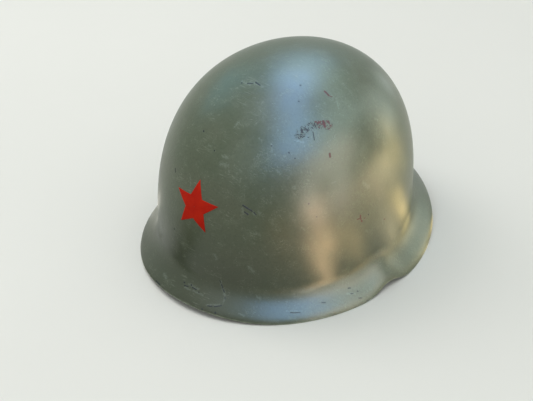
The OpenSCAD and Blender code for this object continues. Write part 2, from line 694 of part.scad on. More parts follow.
// Places its children on the left leg, a distance down it from the stud. +Y points up the leg,
// +X out from the cheek, and the origin lies midway between the two straps.
module on_left_leg(down) {
    p = strap_at(down);
    in_stowed_strap() translate([p.x, p.y, 0]) rotate([0, 0, -strap_lean])
        translate([tail_shift / 2, 0, 0]) children();
}
pair_t = 2 * strap_t + layer_gap;
buckle_room = 0.35;
buckle_inner_t = pair_t + 2 * buckle_room;
buckle_inner_w = strap_w + 2 * buckle_room;
buckle_out_t = buckle_inner_t + 2 * buckle_wall;
buckle_out_w = buckle_inner_w + 2 * buckle_wall;
pin_r = 0.9;
barrel_t = 0.9;
lever_t = 1.2;
lever_len = 11;
lever_side_gap = 0.3;
barrel_r = pin_r + barrel_t;
pin_x = buckle_out_t / 2 + barrel_r + lever_side_gap;
pin_y = buckle_len / 2 - barrel_r;
module buckle_frame()
    color("darkkhaki")
    on_left_leg(buckle_at) difference() {
        union() {
            cube([buckle_out_t, buckle_len, buckle_out_w], center = true);
            for (s = [-1, 1]) translate([pin_x, pin_y, s * (buckle_out_w - buckle_wall) / 2]) {
                cylinder(h = buckle_wall, r = barrel_r, center = true, $fn = round_n);
                translate([-pin_x / 2, 0, 0]) cube([pin_x, 2 * barrel_r, buckle_wall], center = true);
            }
        }
        cube([buckle_inner_t, buckle_len + 2 * cut_past, buckle_inner_w], center = true);
        translate([pin_x, pin_y, 0])
            cylinder(h = buckle_out_w + 2 * cut_past, r = pin_r + eps, center = true, $fn = round_n);
    }
module buckle_pin()
    color("silver")
    on_left_leg(buckle_at) translate([pin_x, pin_y, 0])
        cylinder(h = buckle_out_w, r = pin_r, center = true, $fn = round_n);
module buckle_lever() {
    w = buckle_inner_w - 2 * lever_side_gap;
    color("darkkhaki")
    on_left_leg(buckle_at) translate([pin_x, pin_y, 0]) difference() {
        union() {
            cylinder(h = w, r = barrel_r, center = true, $fn = round_n);
            translate([barrel_r - lever_t / 2, -lever_len / 2, 0])
                cube([lever_t, lever_len, w], center = true);
        }
        cylinder(h = w + 2 * cut_past, r = pin_r + pivot_gap, center = true, $fn = round_n);
    }
}
// Leather keeper that slides on the two straps and holds the tail down
keeper_at = 48;
keeper_len = 5;
keeper_t = 1.2;
keeper_room = 0.3;
module keeper_block(extra, len)
    cube([pair_t + 2 * keeper_room + 2 * extra, len, strap_w + 2 * keeper_room + 2 * extra], center = true);
module strap_keeper()
    color("sienna")
    on_left_leg(keeper_at) difference() {
        keeper_block(keeper_t, keeper_len);
        keeper_block(0, keeper_len + 2 * cut_past);
    }

steel_shell();
front_star();
bale_brackets();
bale_left();
bale_right();
liner_shell();
crown_web_front_left();
crown_web_side();
crown_web_front_right();
head_web();
head_rivets();
a_washers();
nape_web();
nape_rivets();
nape_washers();
sweatband();
sweatband_clips();
sweatband_slide();
chin_studs();
strap_hook_left();
strap_hook_right();
chin_strap_long();
chin_strap_short();
hook_rivets();
buckle_frame();
buckle_pin();
buckle_lever();
strap_keeper();
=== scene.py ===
# %% [markdown]
# # A painted steel combat helmet, dressed for the camera
#
# The helmet is already built as exact solids: a steel shell, a liner inside it, webs, a sweatband
# and a chin strap. This script gives those solids their looks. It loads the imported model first,
# because every later piece takes its place from it, and nothing in it may be moved.

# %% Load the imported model
import math

import bpy
import numpy as np
from mathutils import Matrix, Vector
from mathutils.bvhtree import BVHTree


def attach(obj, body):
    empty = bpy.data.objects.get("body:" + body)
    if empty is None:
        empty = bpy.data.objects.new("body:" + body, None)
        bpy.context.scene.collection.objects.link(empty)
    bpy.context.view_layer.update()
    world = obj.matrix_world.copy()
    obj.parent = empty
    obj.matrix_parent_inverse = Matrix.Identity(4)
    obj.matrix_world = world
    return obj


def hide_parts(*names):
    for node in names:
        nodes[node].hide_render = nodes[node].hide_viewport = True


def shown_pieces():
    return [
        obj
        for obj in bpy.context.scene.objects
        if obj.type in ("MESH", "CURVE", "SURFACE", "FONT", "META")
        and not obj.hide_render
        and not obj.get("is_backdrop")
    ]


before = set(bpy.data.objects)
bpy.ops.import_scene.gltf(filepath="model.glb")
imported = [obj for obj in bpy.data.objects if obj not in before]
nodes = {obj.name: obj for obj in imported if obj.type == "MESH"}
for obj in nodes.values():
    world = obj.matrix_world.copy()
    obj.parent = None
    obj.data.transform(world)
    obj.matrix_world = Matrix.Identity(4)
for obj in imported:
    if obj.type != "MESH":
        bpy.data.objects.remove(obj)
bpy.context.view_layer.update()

# %% [markdown]
# ## The camera
#
# The camera comes first, since the marks on the paint are placed through it later. It looks down
# on the helmet from ahead and to the wearer's left. Its place was found by matching the helmet's
# outline, so it is written as a turn, a height, a distance and a lens, with the point it looks at.

# %% Camera
MM = 0.001
IMAGE_W, IMAGE_H = 533, 401
CAMERA_TURN = math.radians(39.451)
CAMERA_HEIGHT = math.radians(35.234)
CAMERA_ROLL = math.radians(0.595)
CAMERA_DISTANCE = 1.116724
LENS, SENSOR = 89.037, 36.0
AIM = Vector((0, -0.0045, 0.080))
AIM_RIGHT, AIM_UP = -0.017028, -0.039627

back = Vector((math.sin(CAMERA_TURN) * math.cos(CAMERA_HEIGHT),
               -math.cos(CAMERA_TURN) * math.cos(CAMERA_HEIGHT), math.sin(CAMERA_HEIGHT)))
level = Vector((math.cos(CAMERA_TURN), math.sin(CAMERA_TURN), 0))
upright = back.cross(level)
image_right = level * math.cos(CAMERA_ROLL) + upright * math.sin(CAMERA_ROLL)
image_up = upright * math.cos(CAMERA_ROLL) - level * math.sin(CAMERA_ROLL)
eye = AIM + level * AIM_RIGHT + upright * AIM_UP + back * CAMERA_DISTANCE

camera_data = bpy.data.cameras.new("Camera")
camera_data.lens, camera_data.sensor_width = LENS, SENSOR
camera = bpy.data.objects.new("Camera", camera_data)
camera.matrix_world = Matrix.Translation(eye) @ Matrix(
    (image_right, image_up, back)).transposed().to_4x4()
bpy.context.scene.collection.objects.link(camera)
bpy.context.scene.camera = camera
print("camera at", [round(v, 3) for v in eye])


def sight_line(px, py):
    """The direction that one pixel of the picture looks in."""
    across = (px - IMAGE_W / 2) / IMAGE_W * SENSOR / LENS
    down = (py - IMAGE_H / 2) / IMAGE_W * SENSOR / LENS
    return (image_right * across - image_up * down - back).normalized()


# %% [markdown]
# ## The shape of the shell
#
# The shell is one curved sheet. Two numbers find any point on it: the angle round the head from
# the front, and t, which runs from 0 at the crown to 1 at the waist and 2 at the rim. The dome is
# a rounded-off ellipse in both directions, so it is fuller than an egg, and the brim is a flare
# that leaves the wall gently and rolls over to its edge. The same rule made the solid, so the
# fine surface here lies on it to a hair. Everything is worked out in millimetres.

# %% Measures of the shell
CROWN_H, DOME_FRONT, DOME_BACK, DOME_SIDE = 174, 121, 124, 100.5
CROWN_POWER, WALL_POWER, TAPER = 2.15, 2.7, 3.2
FLARE_START, FLARE_ROLL = 2.5, 2
FLARE_FRONT, FLARE_TEMPLE, FLARE_EAR, FLARE_NAPE = 12.5, 14.5, 16.5, 18.5
VISOR_LIFT, VISOR_ARC, NAPE_LIFT, NAPE_ARC = 5, 45, 15, 108
EAR_LIFT, EAR_IN, EAR_AT, EAR_W, EAR_STEP = 5.4, 3, 87.5, 7, 10
DOME_Y = ((DOME_FRONT + FLARE_FRONT) - (DOME_BACK + FLARE_NAPE)) / 2
STEEL_T, SHELL_GAP, LINER_T, LINER_EDGE = 1.2, 1.8, 2.6, 12
LINER_OUT = STEEL_T + SHELL_GAP
LINER_IN = LINER_OUT + LINER_T
print("liner from", LINER_OUT, "to", LINER_IN, "mm under the paint")


def cosd(a): return np.cos(np.radians(a))
def sind(a): return np.sin(np.radians(a))
def clip01(x): return np.clip(x, 0, 1)
def smooth(x): return clip01(x) ** 2 * (3 - 2 * clip01(x))
def from_front(phi): return np.abs((np.asarray(phi, float) + 180) % 360 - 180)
def unit(v): return v / np.maximum(np.linalg.norm(v, axis=-1, keepdims=True), 1e-12)


# %% Waist, rim and flare
WAIST, FLARE_H = (28, 32, 41), (28, 27, 36)     # at the front, the side and the rear


def by_side(phi, front, side, rear):
    """A measure that changes smoothly from front to side and from side to rear."""
    c, s = cosd(phi), sind(phi)
    return np.where(c > 0, front, rear) * c * c + side * s * s


def waist(phi): return by_side(phi, *WAIST)
def flare_height(phi): return by_side(phi, *FLARE_H)
def reach(phi): return np.where(cosd(phi) > 0, DOME_FRONT, DOME_BACK)
def ear(phi): return np.exp(-((from_front(phi) - EAR_AT) / EAR_W) ** 2)


def rim_z(phi):
    visor = clip01((cosd(phi) - cosd(VISOR_ARC)) / (1 - cosd(VISOR_ARC))) ** 2
    nape = clip01((cosd(NAPE_ARC) - cosd(phi)) / (1 + cosd(NAPE_ARC))) ** 2
    return VISOR_LIFT * visor + NAPE_LIFT * nape + EAR_LIFT * ear(phi)


def flare(phi):
    s2 = sind(phi) ** 2
    rear = smooth((from_front(phi) - EAR_AT + EAR_STEP) / (2 * EAR_STEP))
    ahead = FLARE_FRONT * (1 - s2) + FLARE_TEMPLE * s2
    behind = FLARE_NAPE * (1 - s2) + FLARE_EAR * s2
    return ahead * (1 - rear) + behind * rear - EAR_IN * ear(phi)


def outward(phi):
    return unit(np.stack([sind(phi) / DOME_SIDE, -cosd(phi) / reach(phi), 0 * sind(phi)], -1))


# %% Points of the shell
def shell_point(phi, t):
    """A place on the outside of the shell, in millimetres."""
    phi, t = np.broadcast_arrays(np.asarray(phi, float), np.asarray(t, float))
    w, r, h = waist(phi), rim_z(phi), flare_height(phi)
    a, s = 90 * np.minimum(t, 1), np.maximum(0, t - 1)
    z = np.where(t <= 1, w + (CROWN_H - w) * np.maximum(cosd(a), 0) ** (2 / WALL_POWER),
                 w + (r - w) * s)
    u = clip01((r + h - z) / h)
    out = flare(phi) * (1 - (1 - u ** FLARE_START) ** FLARE_ROLL) + TAPER * s * s
    rho, n = sind(a) ** (2 / CROWN_POWER), outward(phi)
    return np.stack([DOME_SIDE * sind(phi) * rho + n[..., 0] * out,
                     -reach(phi) * cosd(phi) * rho + n[..., 1] * out + DOME_Y, z], -1)


def shell_normal(phi, t):
    d_phi, d_t = 0.2, 0.002
    down = shell_point(phi, np.minimum(t + d_t, 2)) - shell_point(phi, np.maximum(t - d_t, 0))
    along = shell_point(phi + d_phi, t) - shell_point(phi - d_phi, t)
    return unit(np.cross(down, along))


def t_at(phi, z):
    """The t at which the shell is at a height."""
    w = waist(phi)
    high = np.degrees(np.arccos(clip01((z - w) / (CROWN_H - w)) ** (WALL_POWER / 2))) / 90
    return np.where(z > w, high, 1 + (w - z) / (w - rim_z(phi)))


print("brim", shell_point(np.array([0.0, 90.0, 180.0]), 2.0).round(1).tolist())

# %% [markdown]
# ## From points to a mesh
#
# Every curved piece here is a grid of points: rings of them for a dome, or sections along a strap.
# One helper joins such a grid with four-sided faces and puts it in the scene in metres. A second
# grid of two numbers per point, along and across in millimetres, becomes its UV map, which is
# what the woven and stitched finishes are drawn on.

# %% Grid to mesh
def grid_mesh(name, points, round_cols=False, uv=None, caps=False, values=None):
    """A mesh from a rows x columns grid of points in millimetres."""
    points = np.asarray(points, float)
    rows, cols = points.shape[:2]
    i, j = np.meshgrid(np.arange(rows - 1), np.arange(cols if round_cols else cols - 1),
                       indexing="ij")
    row, below, j2 = i * cols, (i + 1) * cols, (j + 1) % cols
    quads = np.stack([row + j, row + j2, below + j2, below + j], -1).reshape(-1, 4)
    corners = np.stack([np.stack([a, b], -1) for a, b in
                        ((i, j), (i, j + 1), (i + 1, j + 1), (i + 1, j))], -2).reshape(-1, 4, 2)
    faces = [tuple(int(k) for k in q) for q in quads]
    ends = []
    if caps:
        ends = [tuple(range(cols - 1, -1, -1)), tuple((rows - 1) * cols + k for k in range(cols))]
    mesh = bpy.data.meshes.new(name)
    mesh.from_pydata((points.reshape(-1, 3) * MM).tolist(), [], faces + ends)
    if uv is not None:
        layer = mesh.uv_layers.new(name="cloth")
        flat = np.asarray(uv, float)[corners[..., 0], corners[..., 1]].reshape(-1, 2)
        extra = sum(len(e) for e in ends)
        layer.data.foreach_set("uv", np.concatenate([flat, np.zeros((extra, 2))]).ravel())
    for key, value in (values or {}).items():
        mesh.attributes.new(key, "FLOAT", "POINT").data.foreach_set(
            "value", np.asarray(value, float).ravel())
    mesh.polygons.foreach_set("use_smooth", [True] * len(mesh.polygons))
    mesh.update()
    return mesh


def place(name, mesh, body, slot, finish, *cad_nodes):
    """Puts a mesh in the scene as a piece that rides on a body and stands for CAD nodes."""
    piece = bpy.data.objects.new(name, mesh)
    bpy.context.scene.collection.objects.link(piece)
    mesh.materials.append(finish)
    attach(piece, body)
    if cad_nodes:
        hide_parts(*cad_nodes)
    return piece


# %% [markdown]
# ## Writing finishes as sums
#
# A finish is worked out at every point of a surface by small nodes, and long chains of nodes are
# hard to read. So one small class holds a socket, and adding or multiplying two of them adds the
# Math node. Everything else, from a noise to a bump, comes from its one method `node`.

# %% One socket, with arithmetic
class Wire:
    """One socket of a finish. Arithmetic on wires adds Math nodes, and a | b is the greater."""

    def __init__(self, tree, socket=None):
        self.tree, self.socket = tree, socket

    def node(self, kind, inputs=None, out=0, **settings):
        """Adds a node: first its settings, then the values or wires of its sockets."""
        made = self.tree.nodes.new("ShaderNode" + kind)
        for name, value in settings.items():
            setattr(made, name, value)
        for key, value in (inputs or {}).items():
            if isinstance(value, Wire):
                self.tree.links.new(value.socket, made.inputs[key])
            else:
                made.inputs[key].default_value = value
        return Wire(self.tree, made.outputs[out])

    def math(self, operation, *others):
        return self.node("Math", dict(enumerate((self, *others))), operation=operation)

    def __add__(self, other): return self.math("ADD", other)
    def __radd__(self, other): return self.math("ADD", other)
    def __mul__(self, other): return self.math("MULTIPLY", other)
    def __rmul__(self, other): return self.math("MULTIPLY", other)
    def __sub__(self, other): return self.math("SUBTRACT", other)
    def __rsub__(self, other): return self.node("Math", {0: other, 1: self}, operation="SUBTRACT")
    def __or__(self, other): return self.math("MAXIMUM", other)
    def __ror__(self, other): return self.math("MAXIMUM", other)
    def __abs__(self): return self.math("ABSOLUTE")

    def part(self, i):
        """One number of a vector, 0, 1 or 2 for its x, y or z."""
        return self.node("SeparateXYZ", {0: self}, i)

    def between(self, low, high):
        """0 below low and 1 above high, with a smooth step from one to the other."""
        return self.node("MapRange", {"Value": self, "From Min": low, "From Max": high},
                         interpolation_type="SMOOTHSTEP")

    def noise(self, size, detail=3.0, rough=0.55, offset=0.0):
        """Cloudy noise, from about 0.2 to 0.8, whose blobs are about size across."""
        place_in = self
        if offset:
            place_in = self.node("VectorMath", {0: self, 1: (offset, 1.7 * offset, -offset)},
                                 operation="ADD")
        return self.node("TexNoise", {"Vector": place_in, "Scale": 1 / size, "Detail": detail,
                                      "Roughness": rough})

    def tint(self, under, over, share=1):
        """under where this is 0, and over where it is 1, or only a share of over."""
        factor = self if share == 1 else self * share
        return self.node("Mix", {0: factor, 6: under, 7: over}, out=2, data_type="RGBA")


# %% Colours from a paint card
def srgb(r, g, b):
    """A colour as a paint card gives it, from 0 to 255, as the numbers a node wants."""
    def linear(c): return c / 12.92 if c <= 0.04045 else ((c + 0.055) / 1.055) ** 2.4
    return (linear(r / 255), linear(g / 255), linear(b / 255), 1.0)


print("half of 255 on a paint card is", round(srgb(128, 128, 128)[0], 3), "to a node")

# %% [markdown]
# One more class holds a whole finish. It keeps the material's Principled shader, where plain
# values are set at once, and `at`, the place on the piece in millimetres, which nearly every
# mask starts from. Because `at` is measured on the piece, its marks stay put when it moves.

# %% A finish
class Finish:
    """A material with one Principled shader, and the wires that feed it."""

    def __init__(self, name, **fixed):
        self.material = bpy.data.materials.new(name)
        self.material.use_nodes = True
        tree = self.material.node_tree
        self.shader = tree.nodes["Principled BSDF"]
        for key, value in fixed.items():
            socket = key.replace("_", " ").title().replace("Ior", "IOR")
            self.shader.inputs[socket].default_value = value
        self.bench = Wire(tree)
        object_place = self.bench.node("TexCoord", out=3)
        self.at = self.bench.node("VectorMath", {0: object_place, "Scale": 1 / MM},
                                  operation="SCALE")

    def kept(self, name, out=2):
        """What a mesh keeps on its points: a number, or a vector where out is 1."""
        return self.bench.node("Attribute", out=out, attribute_name=name)

    def feed(self, socket, wire):
        self.bench.tree.links.new(wire.socket, self.shader.inputs[socket])

    def bumps(self, *layers):
        """Stacks bumps, each a height wire, the height of 1 in millimetres, and a strength."""
        normal = None
        for height, depth, strength in layers:
            inputs = {"Height": height, "Distance": depth * MM, "Strength": strength}
            if normal is not None:
                inputs["Normal"] = normal
            normal = self.bench.node("Bump", inputs)
        self.feed("Normal", normal)


# %% [markdown]
# ## The steel shell
#
# The shell is pressed from one sheet, so it is drawn as an outer skin, an inner skin one steel
# thickness in, and a rounded edge that joins them. A modifier could thicken a single sheet, but
# it would move the rim. Each point also keeps how far it lies above the rim, and which skin it is
# on, so that the paint can wear at the edge.

# %% Shell grid
SHELL_COLS, DOME_ROWS, BRIM_ROWS, EDGE_STEPS = 288, 64, 44, 6
CROWDING, RIM_TURN = 1.05, 3


def skin_rows(depth, phi, dome_rows, brim_rows, lift):
    """Rows of a skin from the crown to just above the rim, depth millimetres in."""
    rows = []
    for k in range(dome_rows + brim_rows + 1):
        if k <= dome_rows:
            t = np.full_like(phi, (k / dome_rows) ** CROWDING)
        else:
            z = waist(phi) + (rim_z(phi) + lift - waist(phi)) * (k - dome_rows) / brim_rows
            t = t_at(phi, z)
        p, n = shell_point(phi, t), shell_normal(phi, np.maximum(t, 0.01))
        near_rim = smooth(1 - (p[..., 2] - rim_z(phi)) / RIM_TURN)[..., None]
        rows.append(p - depth * unit(n * (1 - near_rim) + outward(phi) * near_rim))
    return rows


def skin_mesh(name, outer, inner, cols, dome_rows, brim_rows, edge=0.0):
    """A closed skin between two depths, with a rounded lower edge."""
    phi = np.linspace(0, 360, cols, endpoint=False)
    r, n, up = (inner - outer) / 2, outward(phi), np.array([0, 0, 1])
    middle = shell_point(phi, t_at(phi, rim_z(phi) + edge)) - (outer + r) * n + r * up
    turn = [middle + r * (cosd(a) * n - sind(a) * up)
            for a in np.linspace(0, 180, EDGE_STEPS + 1)[1:-1]]
    outside = skin_rows(outer, phi, dome_rows, brim_rows, edge + r)
    inside = skin_rows(inner, phi, dome_rows, brim_rows, edge + r)
    rows = np.array(outside + turn + inside[::-1])
    above = rows[..., 2] - rim_z(phi)[None, :] - edge
    skin = np.array([[1.0]] * len(outside) + [[0.5]] * len(turn) + [[0.0]] * len(inside))
    mesh = grid_mesh(name, rows, round_cols=True,
                     values={"above_rim": above, "outer_skin": np.broadcast_to(skin, above.shape)})
    return mesh, np.array(outside)


shell_mesh, shell_outside = skin_mesh("steel_shell_skin", 0, STEEL_T, SHELL_COLS, DOME_ROWS,
                                      BRIM_ROWS)
print("shell faces", len(shell_mesh.polygons))

# %% [markdown]
# ## Where the marks are
#
# Every chip and scratch on this helmet is its own accident, so they are placed one by one. Each
# is a stroke between two spots of the picture. A line of sight through each spot meets the shell
# somewhere, and from then on the stroke belongs to the metal and stays there in any view.

# %% Spots of the picture on the shell
flat = shell_outside.reshape(-1, 3)
rows_n, cols_n = shell_outside.shape[:2]
quads = [(i * cols_n + j, i * cols_n + (j + 1) % cols_n, (i + 1) * cols_n + (j + 1) % cols_n,
          (i + 1) * cols_n + j) for i in range(1, rows_n - 1) for j in range(cols_n)]
shell_tree = BVHTree.FromPolygons([Vector(p) * MM for p in flat.tolist()], quads)


def on_shell(px, py):
    """The place on the shell, in millimetres, that a spot of the picture shows."""
    hit, _, _, _ = shell_tree.ray_cast(eye, sight_line(px, py))
    return None if hit is None else np.array(hit / MM)


middle_spot = on_shell(IMAGE_W / 2, IMAGE_H / 2)
print("the middle of the picture meets the shell at", middle_spot.round().tolist())

# %% [markdown]
# ## Strokes that stay sharp
#
# A mark could be a small picture laid on the paint, but a picture blurs when the camera comes
# near. It could be a colour kept on each point, but the points lie over a millimetre apart, and a
# scratch is thinner. So each point keeps how far it lies along a stroke and across it. Those two
# change evenly from point to point, and the finish can draw the stroke's edge anywhere between.

# %% Vectors kept on points
def on_points(mesh, what):
    """One vector for each point of a mesh: its place, "co", or its way out, "normal"."""
    got = np.empty(len(mesh.vertices) * 3, np.float32)
    mesh.vertices.foreach_get(what, got)
    return got.reshape(-1, 3)


def keep_vectors(mesh, key, vectors):
    """Keeps one vector on each point of a mesh, for a finish to read."""
    made = mesh.attributes.new(key, "FLOAT_VECTOR", "POINT")
    made.data.foreach_set("vector", vectors.astype(np.float32).ravel())


# %% Strokes kept on the mesh
ZONE, SPACING, DEEPEST = 4.6, 4, 12     # reach round a stroke, gap between two, and depth, in mm
DOT, FAR = 0.3, 9e3                     # a shorter stroke is a dot; FAR stands for no stroke near


def stroke_layers(mesh, key, strokes):
    """Keeps strokes on the mesh, and returns how many layers it took.

    A stroke is two spots of the picture and half its width. Near it each point holds its
    distances along and across, and the stroke's half length, all in half widths. Two strokes
    that lie close go on different layers.
    """
    points, normals, layers = on_points(mesh, "co") / MM, on_points(mesh, "normal"), []
    for x0, y0, x1, y1, half in strokes:
        a, b = on_shell(x0, y0), on_shell(x1, y1)
        if a is None or b is None:
            print("stroke off the shell", (x0, y0, x1, y1))
            continue
        size, away = np.linalg.norm(b - a), points - (a + b) / 2
        n = normals[np.argmin(np.linalg.norm(away, axis=1))]
        along = unit(b - a if size > DOT else np.cross(n, [0.3, 0.2, 1.0]))
        u, v = away @ along, away @ unit(np.cross(n, along))
        gap = np.hypot(np.maximum(np.abs(u) - size / 2, 0), v) - half
        reached = np.abs(away @ n) < DEEPEST
        for layer in layers:
            if not (layer["taken"] & (gap < ZONE + SPACING) & reached).any():
                break
        else:
            layer = {"taken": np.zeros(len(points), bool),
                     "data": np.tile([FAR, FAR, -FAR], (len(points), 1))}
            layers.append(layer)
        near = (gap < ZONE) & reached
        layer["taken"] |= near
        layer["data"][near] = np.stack([u, v, 0 * u + size / 2], -1)[near] / half
    for k, layer in enumerate(layers):
        keep_vectors(mesh, f"{key}_{k}", layer["data"])
    print(key, "strokes", len(strokes), "layers", len(layers))
    return len(layers)


# %% A path kept on the mesh
def path_layer(mesh, key, path):
    """Keeps on each point how far it lies along a path and beside it, and returns the stops."""
    points = on_points(mesh, "co") / MM
    spots = np.array([on_shell(x, y) for x, y in path])
    nearest, stops = np.full(len(points), FAR), [0.0]
    data = np.tile([0.0, FAR, 0.0], (len(points), 1))
    for a, b in zip(spots[:-1], spots[1:]):
        size = np.linalg.norm(b - a)
        u = (points - a) @ ((b - a) / size)
        off = points - a - np.clip(u, 0, size)[:, None] * (b - a) / size
        gap = np.linalg.norm(off, axis=1)
        closer = gap < nearest
        nearest[closer] = gap[closer]
        side = np.where(off[:, 2] < 0, -1, 1)
        data[closer] = np.stack([stops[-1] + u, side * gap, 0 * u], -1)[closer]
        stops.append(stops[-1] + size)
    keep_vectors(mesh, key, data)
    print(key, "is", round(stops[-1], 1), "mm long")
    return stops


# %% [markdown]
# ## The list of marks
#
# Each row below is one mark: where it starts in the picture, where it ends, and half its width in
# millimetres. Dark ones are chips and scratches down to the primer. Rusted ones are where bare
# steel was left wet. Pale ones are scuffs that polished the paint, or left a dusting on it. Last
# comes an arc of tiny chips, dark at one end and rusted at the other, as if one rough thing had
# struck a glancing blow. It has too many chips to list, so it is a path with a spray round it.

# %% Dark chips and scratches
DARK_STROKES = [
    (247.5, 83.4, 253, 83.2, 0.5), (255.8, 82.4, 260, 85.2, 0.6), (241.5, 82.8, 242, 83, 0.5),
    (300.4, 85.2, 300.4, 85.4, 0.7), (298.7, 101.3, 298.8, 101.6, 0.6),
    (288.8, 152.4, 289.3, 152.9, 0.6), (295, 158.3, 295, 158.5, 0.6),
    (203.6, 130.8, 203.8, 131.4, 0.6), (214.4, 150.6, 214.4, 150.8, 0.5),
    (175.3, 168.6, 175.5, 172, 0.45), (271.6, 145.7, 271.8, 146, 0.45),
    (174.1, 228.4, 174.2, 229, 0.55), (308.7, 203.4, 308.8, 204, 0.6),
    (316.6, 216.6, 316.8, 217, 0.5), (368.4, 214.4, 368.6, 214.8, 0.5),
    (243, 205.4, 252.1, 211.2, 0.6), (254, 212.4, 256.3, 215, 0.45),
    (244.6, 212, 247.9, 214.5, 0.55), (184.2, 282.2, 184.8, 282.6, 0.5),
    (184.4, 285.4, 188.2, 286.5, 0.4), (191.3, 284.9, 191.6, 285.3, 0.65),
    (192.5, 287.4, 196.2, 289.4, 0.45), (198.6, 292, 199, 292.3, 0.45),
    (219.4, 279.6, 221, 283, 0.35), (224.9, 297, 225.1, 299, 0.35),
    (221.6, 284.4, 222.6, 288, 0.45), (223, 289.6, 224.4, 292.2, 0.4),
    (207.6, 305.8, 212, 306.4, 0.4), (214.4, 306.6, 221.4, 305.6, 0.4),
    (215.3, 312.6, 215.4, 313, 0.8), (156, 281.2, 159.4, 284.6, 0.8),
    (201.8, 309, 202.2, 309.2, 0.7), (290.6, 312.4, 293.4, 312.8, 0.35),
    (294.6, 312.6, 300.2, 312.2, 0.35), (322, 302.6, 325.4, 302.5, 0.4),
    (348.2, 288.2, 350.4, 288, 0.45), (357.4, 291.2, 358, 291.2, 0.55),
    (350.8, 293.7, 353.2, 293.4, 0.4), (358.8, 298.1, 361.4, 297.9, 0.4),
    (367, 300.7, 368.8, 300.4, 0.45), (301.4, 130.4, 302.2, 131.8, 0.8),
    (306.6, 129.4, 307.4, 131, 0.7), (300, 134.4, 300.4, 137.6, 0.4),
    (300.2, 136.6, 301.6, 136.3, 0.4), (303.4, 136.6, 304.6, 136.3, 0.4),
    (307.8, 137.3, 308.6, 137.3, 0.4), (313, 132, 314.4, 140, 0.4)]
print("dark strokes", len(DARK_STROKES))

# %% Rust
RUST_STROKES = [
    (324.9, 91.4, 328.7, 95.4, 0.9), (328.7, 95.5, 331.8, 96.7, 0.4),
    (329.7, 153.8, 330.1, 156.8, 0.85), (357.4, 219.4, 359.6, 218.6, 0.55),
    (360.4, 215.6, 360.9, 219.4, 0.75), (361.4, 220.6, 362, 221.4, 0.7),
    (364.2, 218.2, 365, 217.8, 0.4), (384, 219.4, 385.2, 218.8, 0.4),
    (317.8, 122.9, 319.8, 122.4, 1.0), (323.4, 121.4, 324.8, 126.4, 1.2),
    (321.4, 124, 321.8, 124.4, 0.6), (328.2, 121.4, 329, 122.8, 0.9),
    (330.6, 125.6, 330.8, 126, 0.55), (326.4, 120.9, 326.8, 121.1, 0.55),
    (315.2, 121.9, 316, 121.6, 0.6)]
print("rust strokes", len(RUST_STROKES))

# %% Pale scuffs
PALE_STROKES = [
    (242, 81.2, 250, 85, 0.9), (250, 81.6, 262.4, 87, 0.9), (236.5, 124.6, 238.2, 121.8, 1.3),
    (234.6, 127.4, 235.8, 126, 0.9), (223.4, 156.2, 228, 157.8, 1.1),
    (221, 163.6, 227.2, 166, 1.6), (208.6, 145.2, 210.6, 146.4, 0.9),
    (190.2, 176, 190.6, 186, 0.5), (277.6, 171.4, 279.6, 173, 1.4),
    (293.6, 187.2, 294.6, 188.2, 1.0), (258.8, 212.2, 259.8, 213.4, 1.3),
    (256, 233.6, 258.8, 234.4, 1.3), (248.8, 267.6, 252.8, 271.4, 1.6),
    (214.8, 254.6, 216.4, 258.6, 1.2), (164, 274, 166, 278, 1.2), (257.4, 296.8, 260, 298, 1.2),
    (239.4, 313.4, 243.4, 316, 0.8), (271.4, 144.4, 272, 152, 0.6),
    (259.6, 138.6, 261.6, 140.6, 1.0), (336.8, 100.6, 338.4, 108.4, 0.8),
    (375, 118.4, 377.4, 119.8, 1.0), (363.4, 182.6, 368.4, 187.4, 1.8),
    (414.2, 191.8, 415, 197.6, 0.7), (382.2, 219.4, 382.6, 223.8, 0.6),
    (366, 230.2, 367.6, 231.4, 0.8), (242, 208.6, 243, 214, 1.1),
    (253.8, 213.8, 255.6, 215.4, 1.0), (297.4, 140.8, 303.4, 142.4, 0.9),
    (220.6, 278.6, 221.6, 286.7, 0.8), (221.6, 286.7, 225.2, 295.9, 1.0),
    (224.8, 297.6, 223.4, 302.6, 0.8), (219.6, 305, 207, 304.8, 0.8),
    (185, 287.4, 190, 289.8, 0.8), (189, 284.2, 198.6, 289.4, 0.8), (193, 290.4, 203, 295.4, 0.7),
    (347, 293.8, 355, 293.4, 0.8), (287, 311.2, 302, 311.2, 0.7),
    (301.6, 227.4, 304.8, 230.6, 0.6), (331.6, 183.4, 335.4, 181.6, 0.6)]
print("pale strokes", len(PALE_STROKES))

# %% The spray's path, and all marks onto the mesh
SPRAY_PATH = [(296.5, 137), (299.5, 131), (304, 127), (310, 124.8), (316, 123.2), (321, 122.6),
              (326, 123), (331, 125.6)]
LAYERS = {key: stroke_layers(shell_mesh, key, strokes) for key, strokes in
          (("dark", DARK_STROKES), ("rust", RUST_STROKES), ("pale", PALE_STROKES))}
spray_stops = path_layer(shell_mesh, "spray", SPRAY_PATH)

# %% [markdown]
# ## The paint
#
# The paint is a satin grey-green, sprayed over primer. Close up it is orange peel, the fine
# pebbling that sprayed paint dries to. Over years it has picked up pale hair scratches, dust in
# the pores and dark specks. Low down, away from the helmet's left side, it is darkened by
# painted shade. Each of these is its own mask, worked out from the place on the metal. Hair
# scratches are the thin contour lines of a stretched noise, kept only in patches, because
# scratches come in bouts and run one way in each.

# %% Sound paint
SCRATCH_BOUTS = ((20, 14, 5.0), (75, 22, 17.0), (-48, 30, 29.0))  # turn, stretch, noise offset
SPECK_CELL = 7.0                        # mm between places that may have a speck


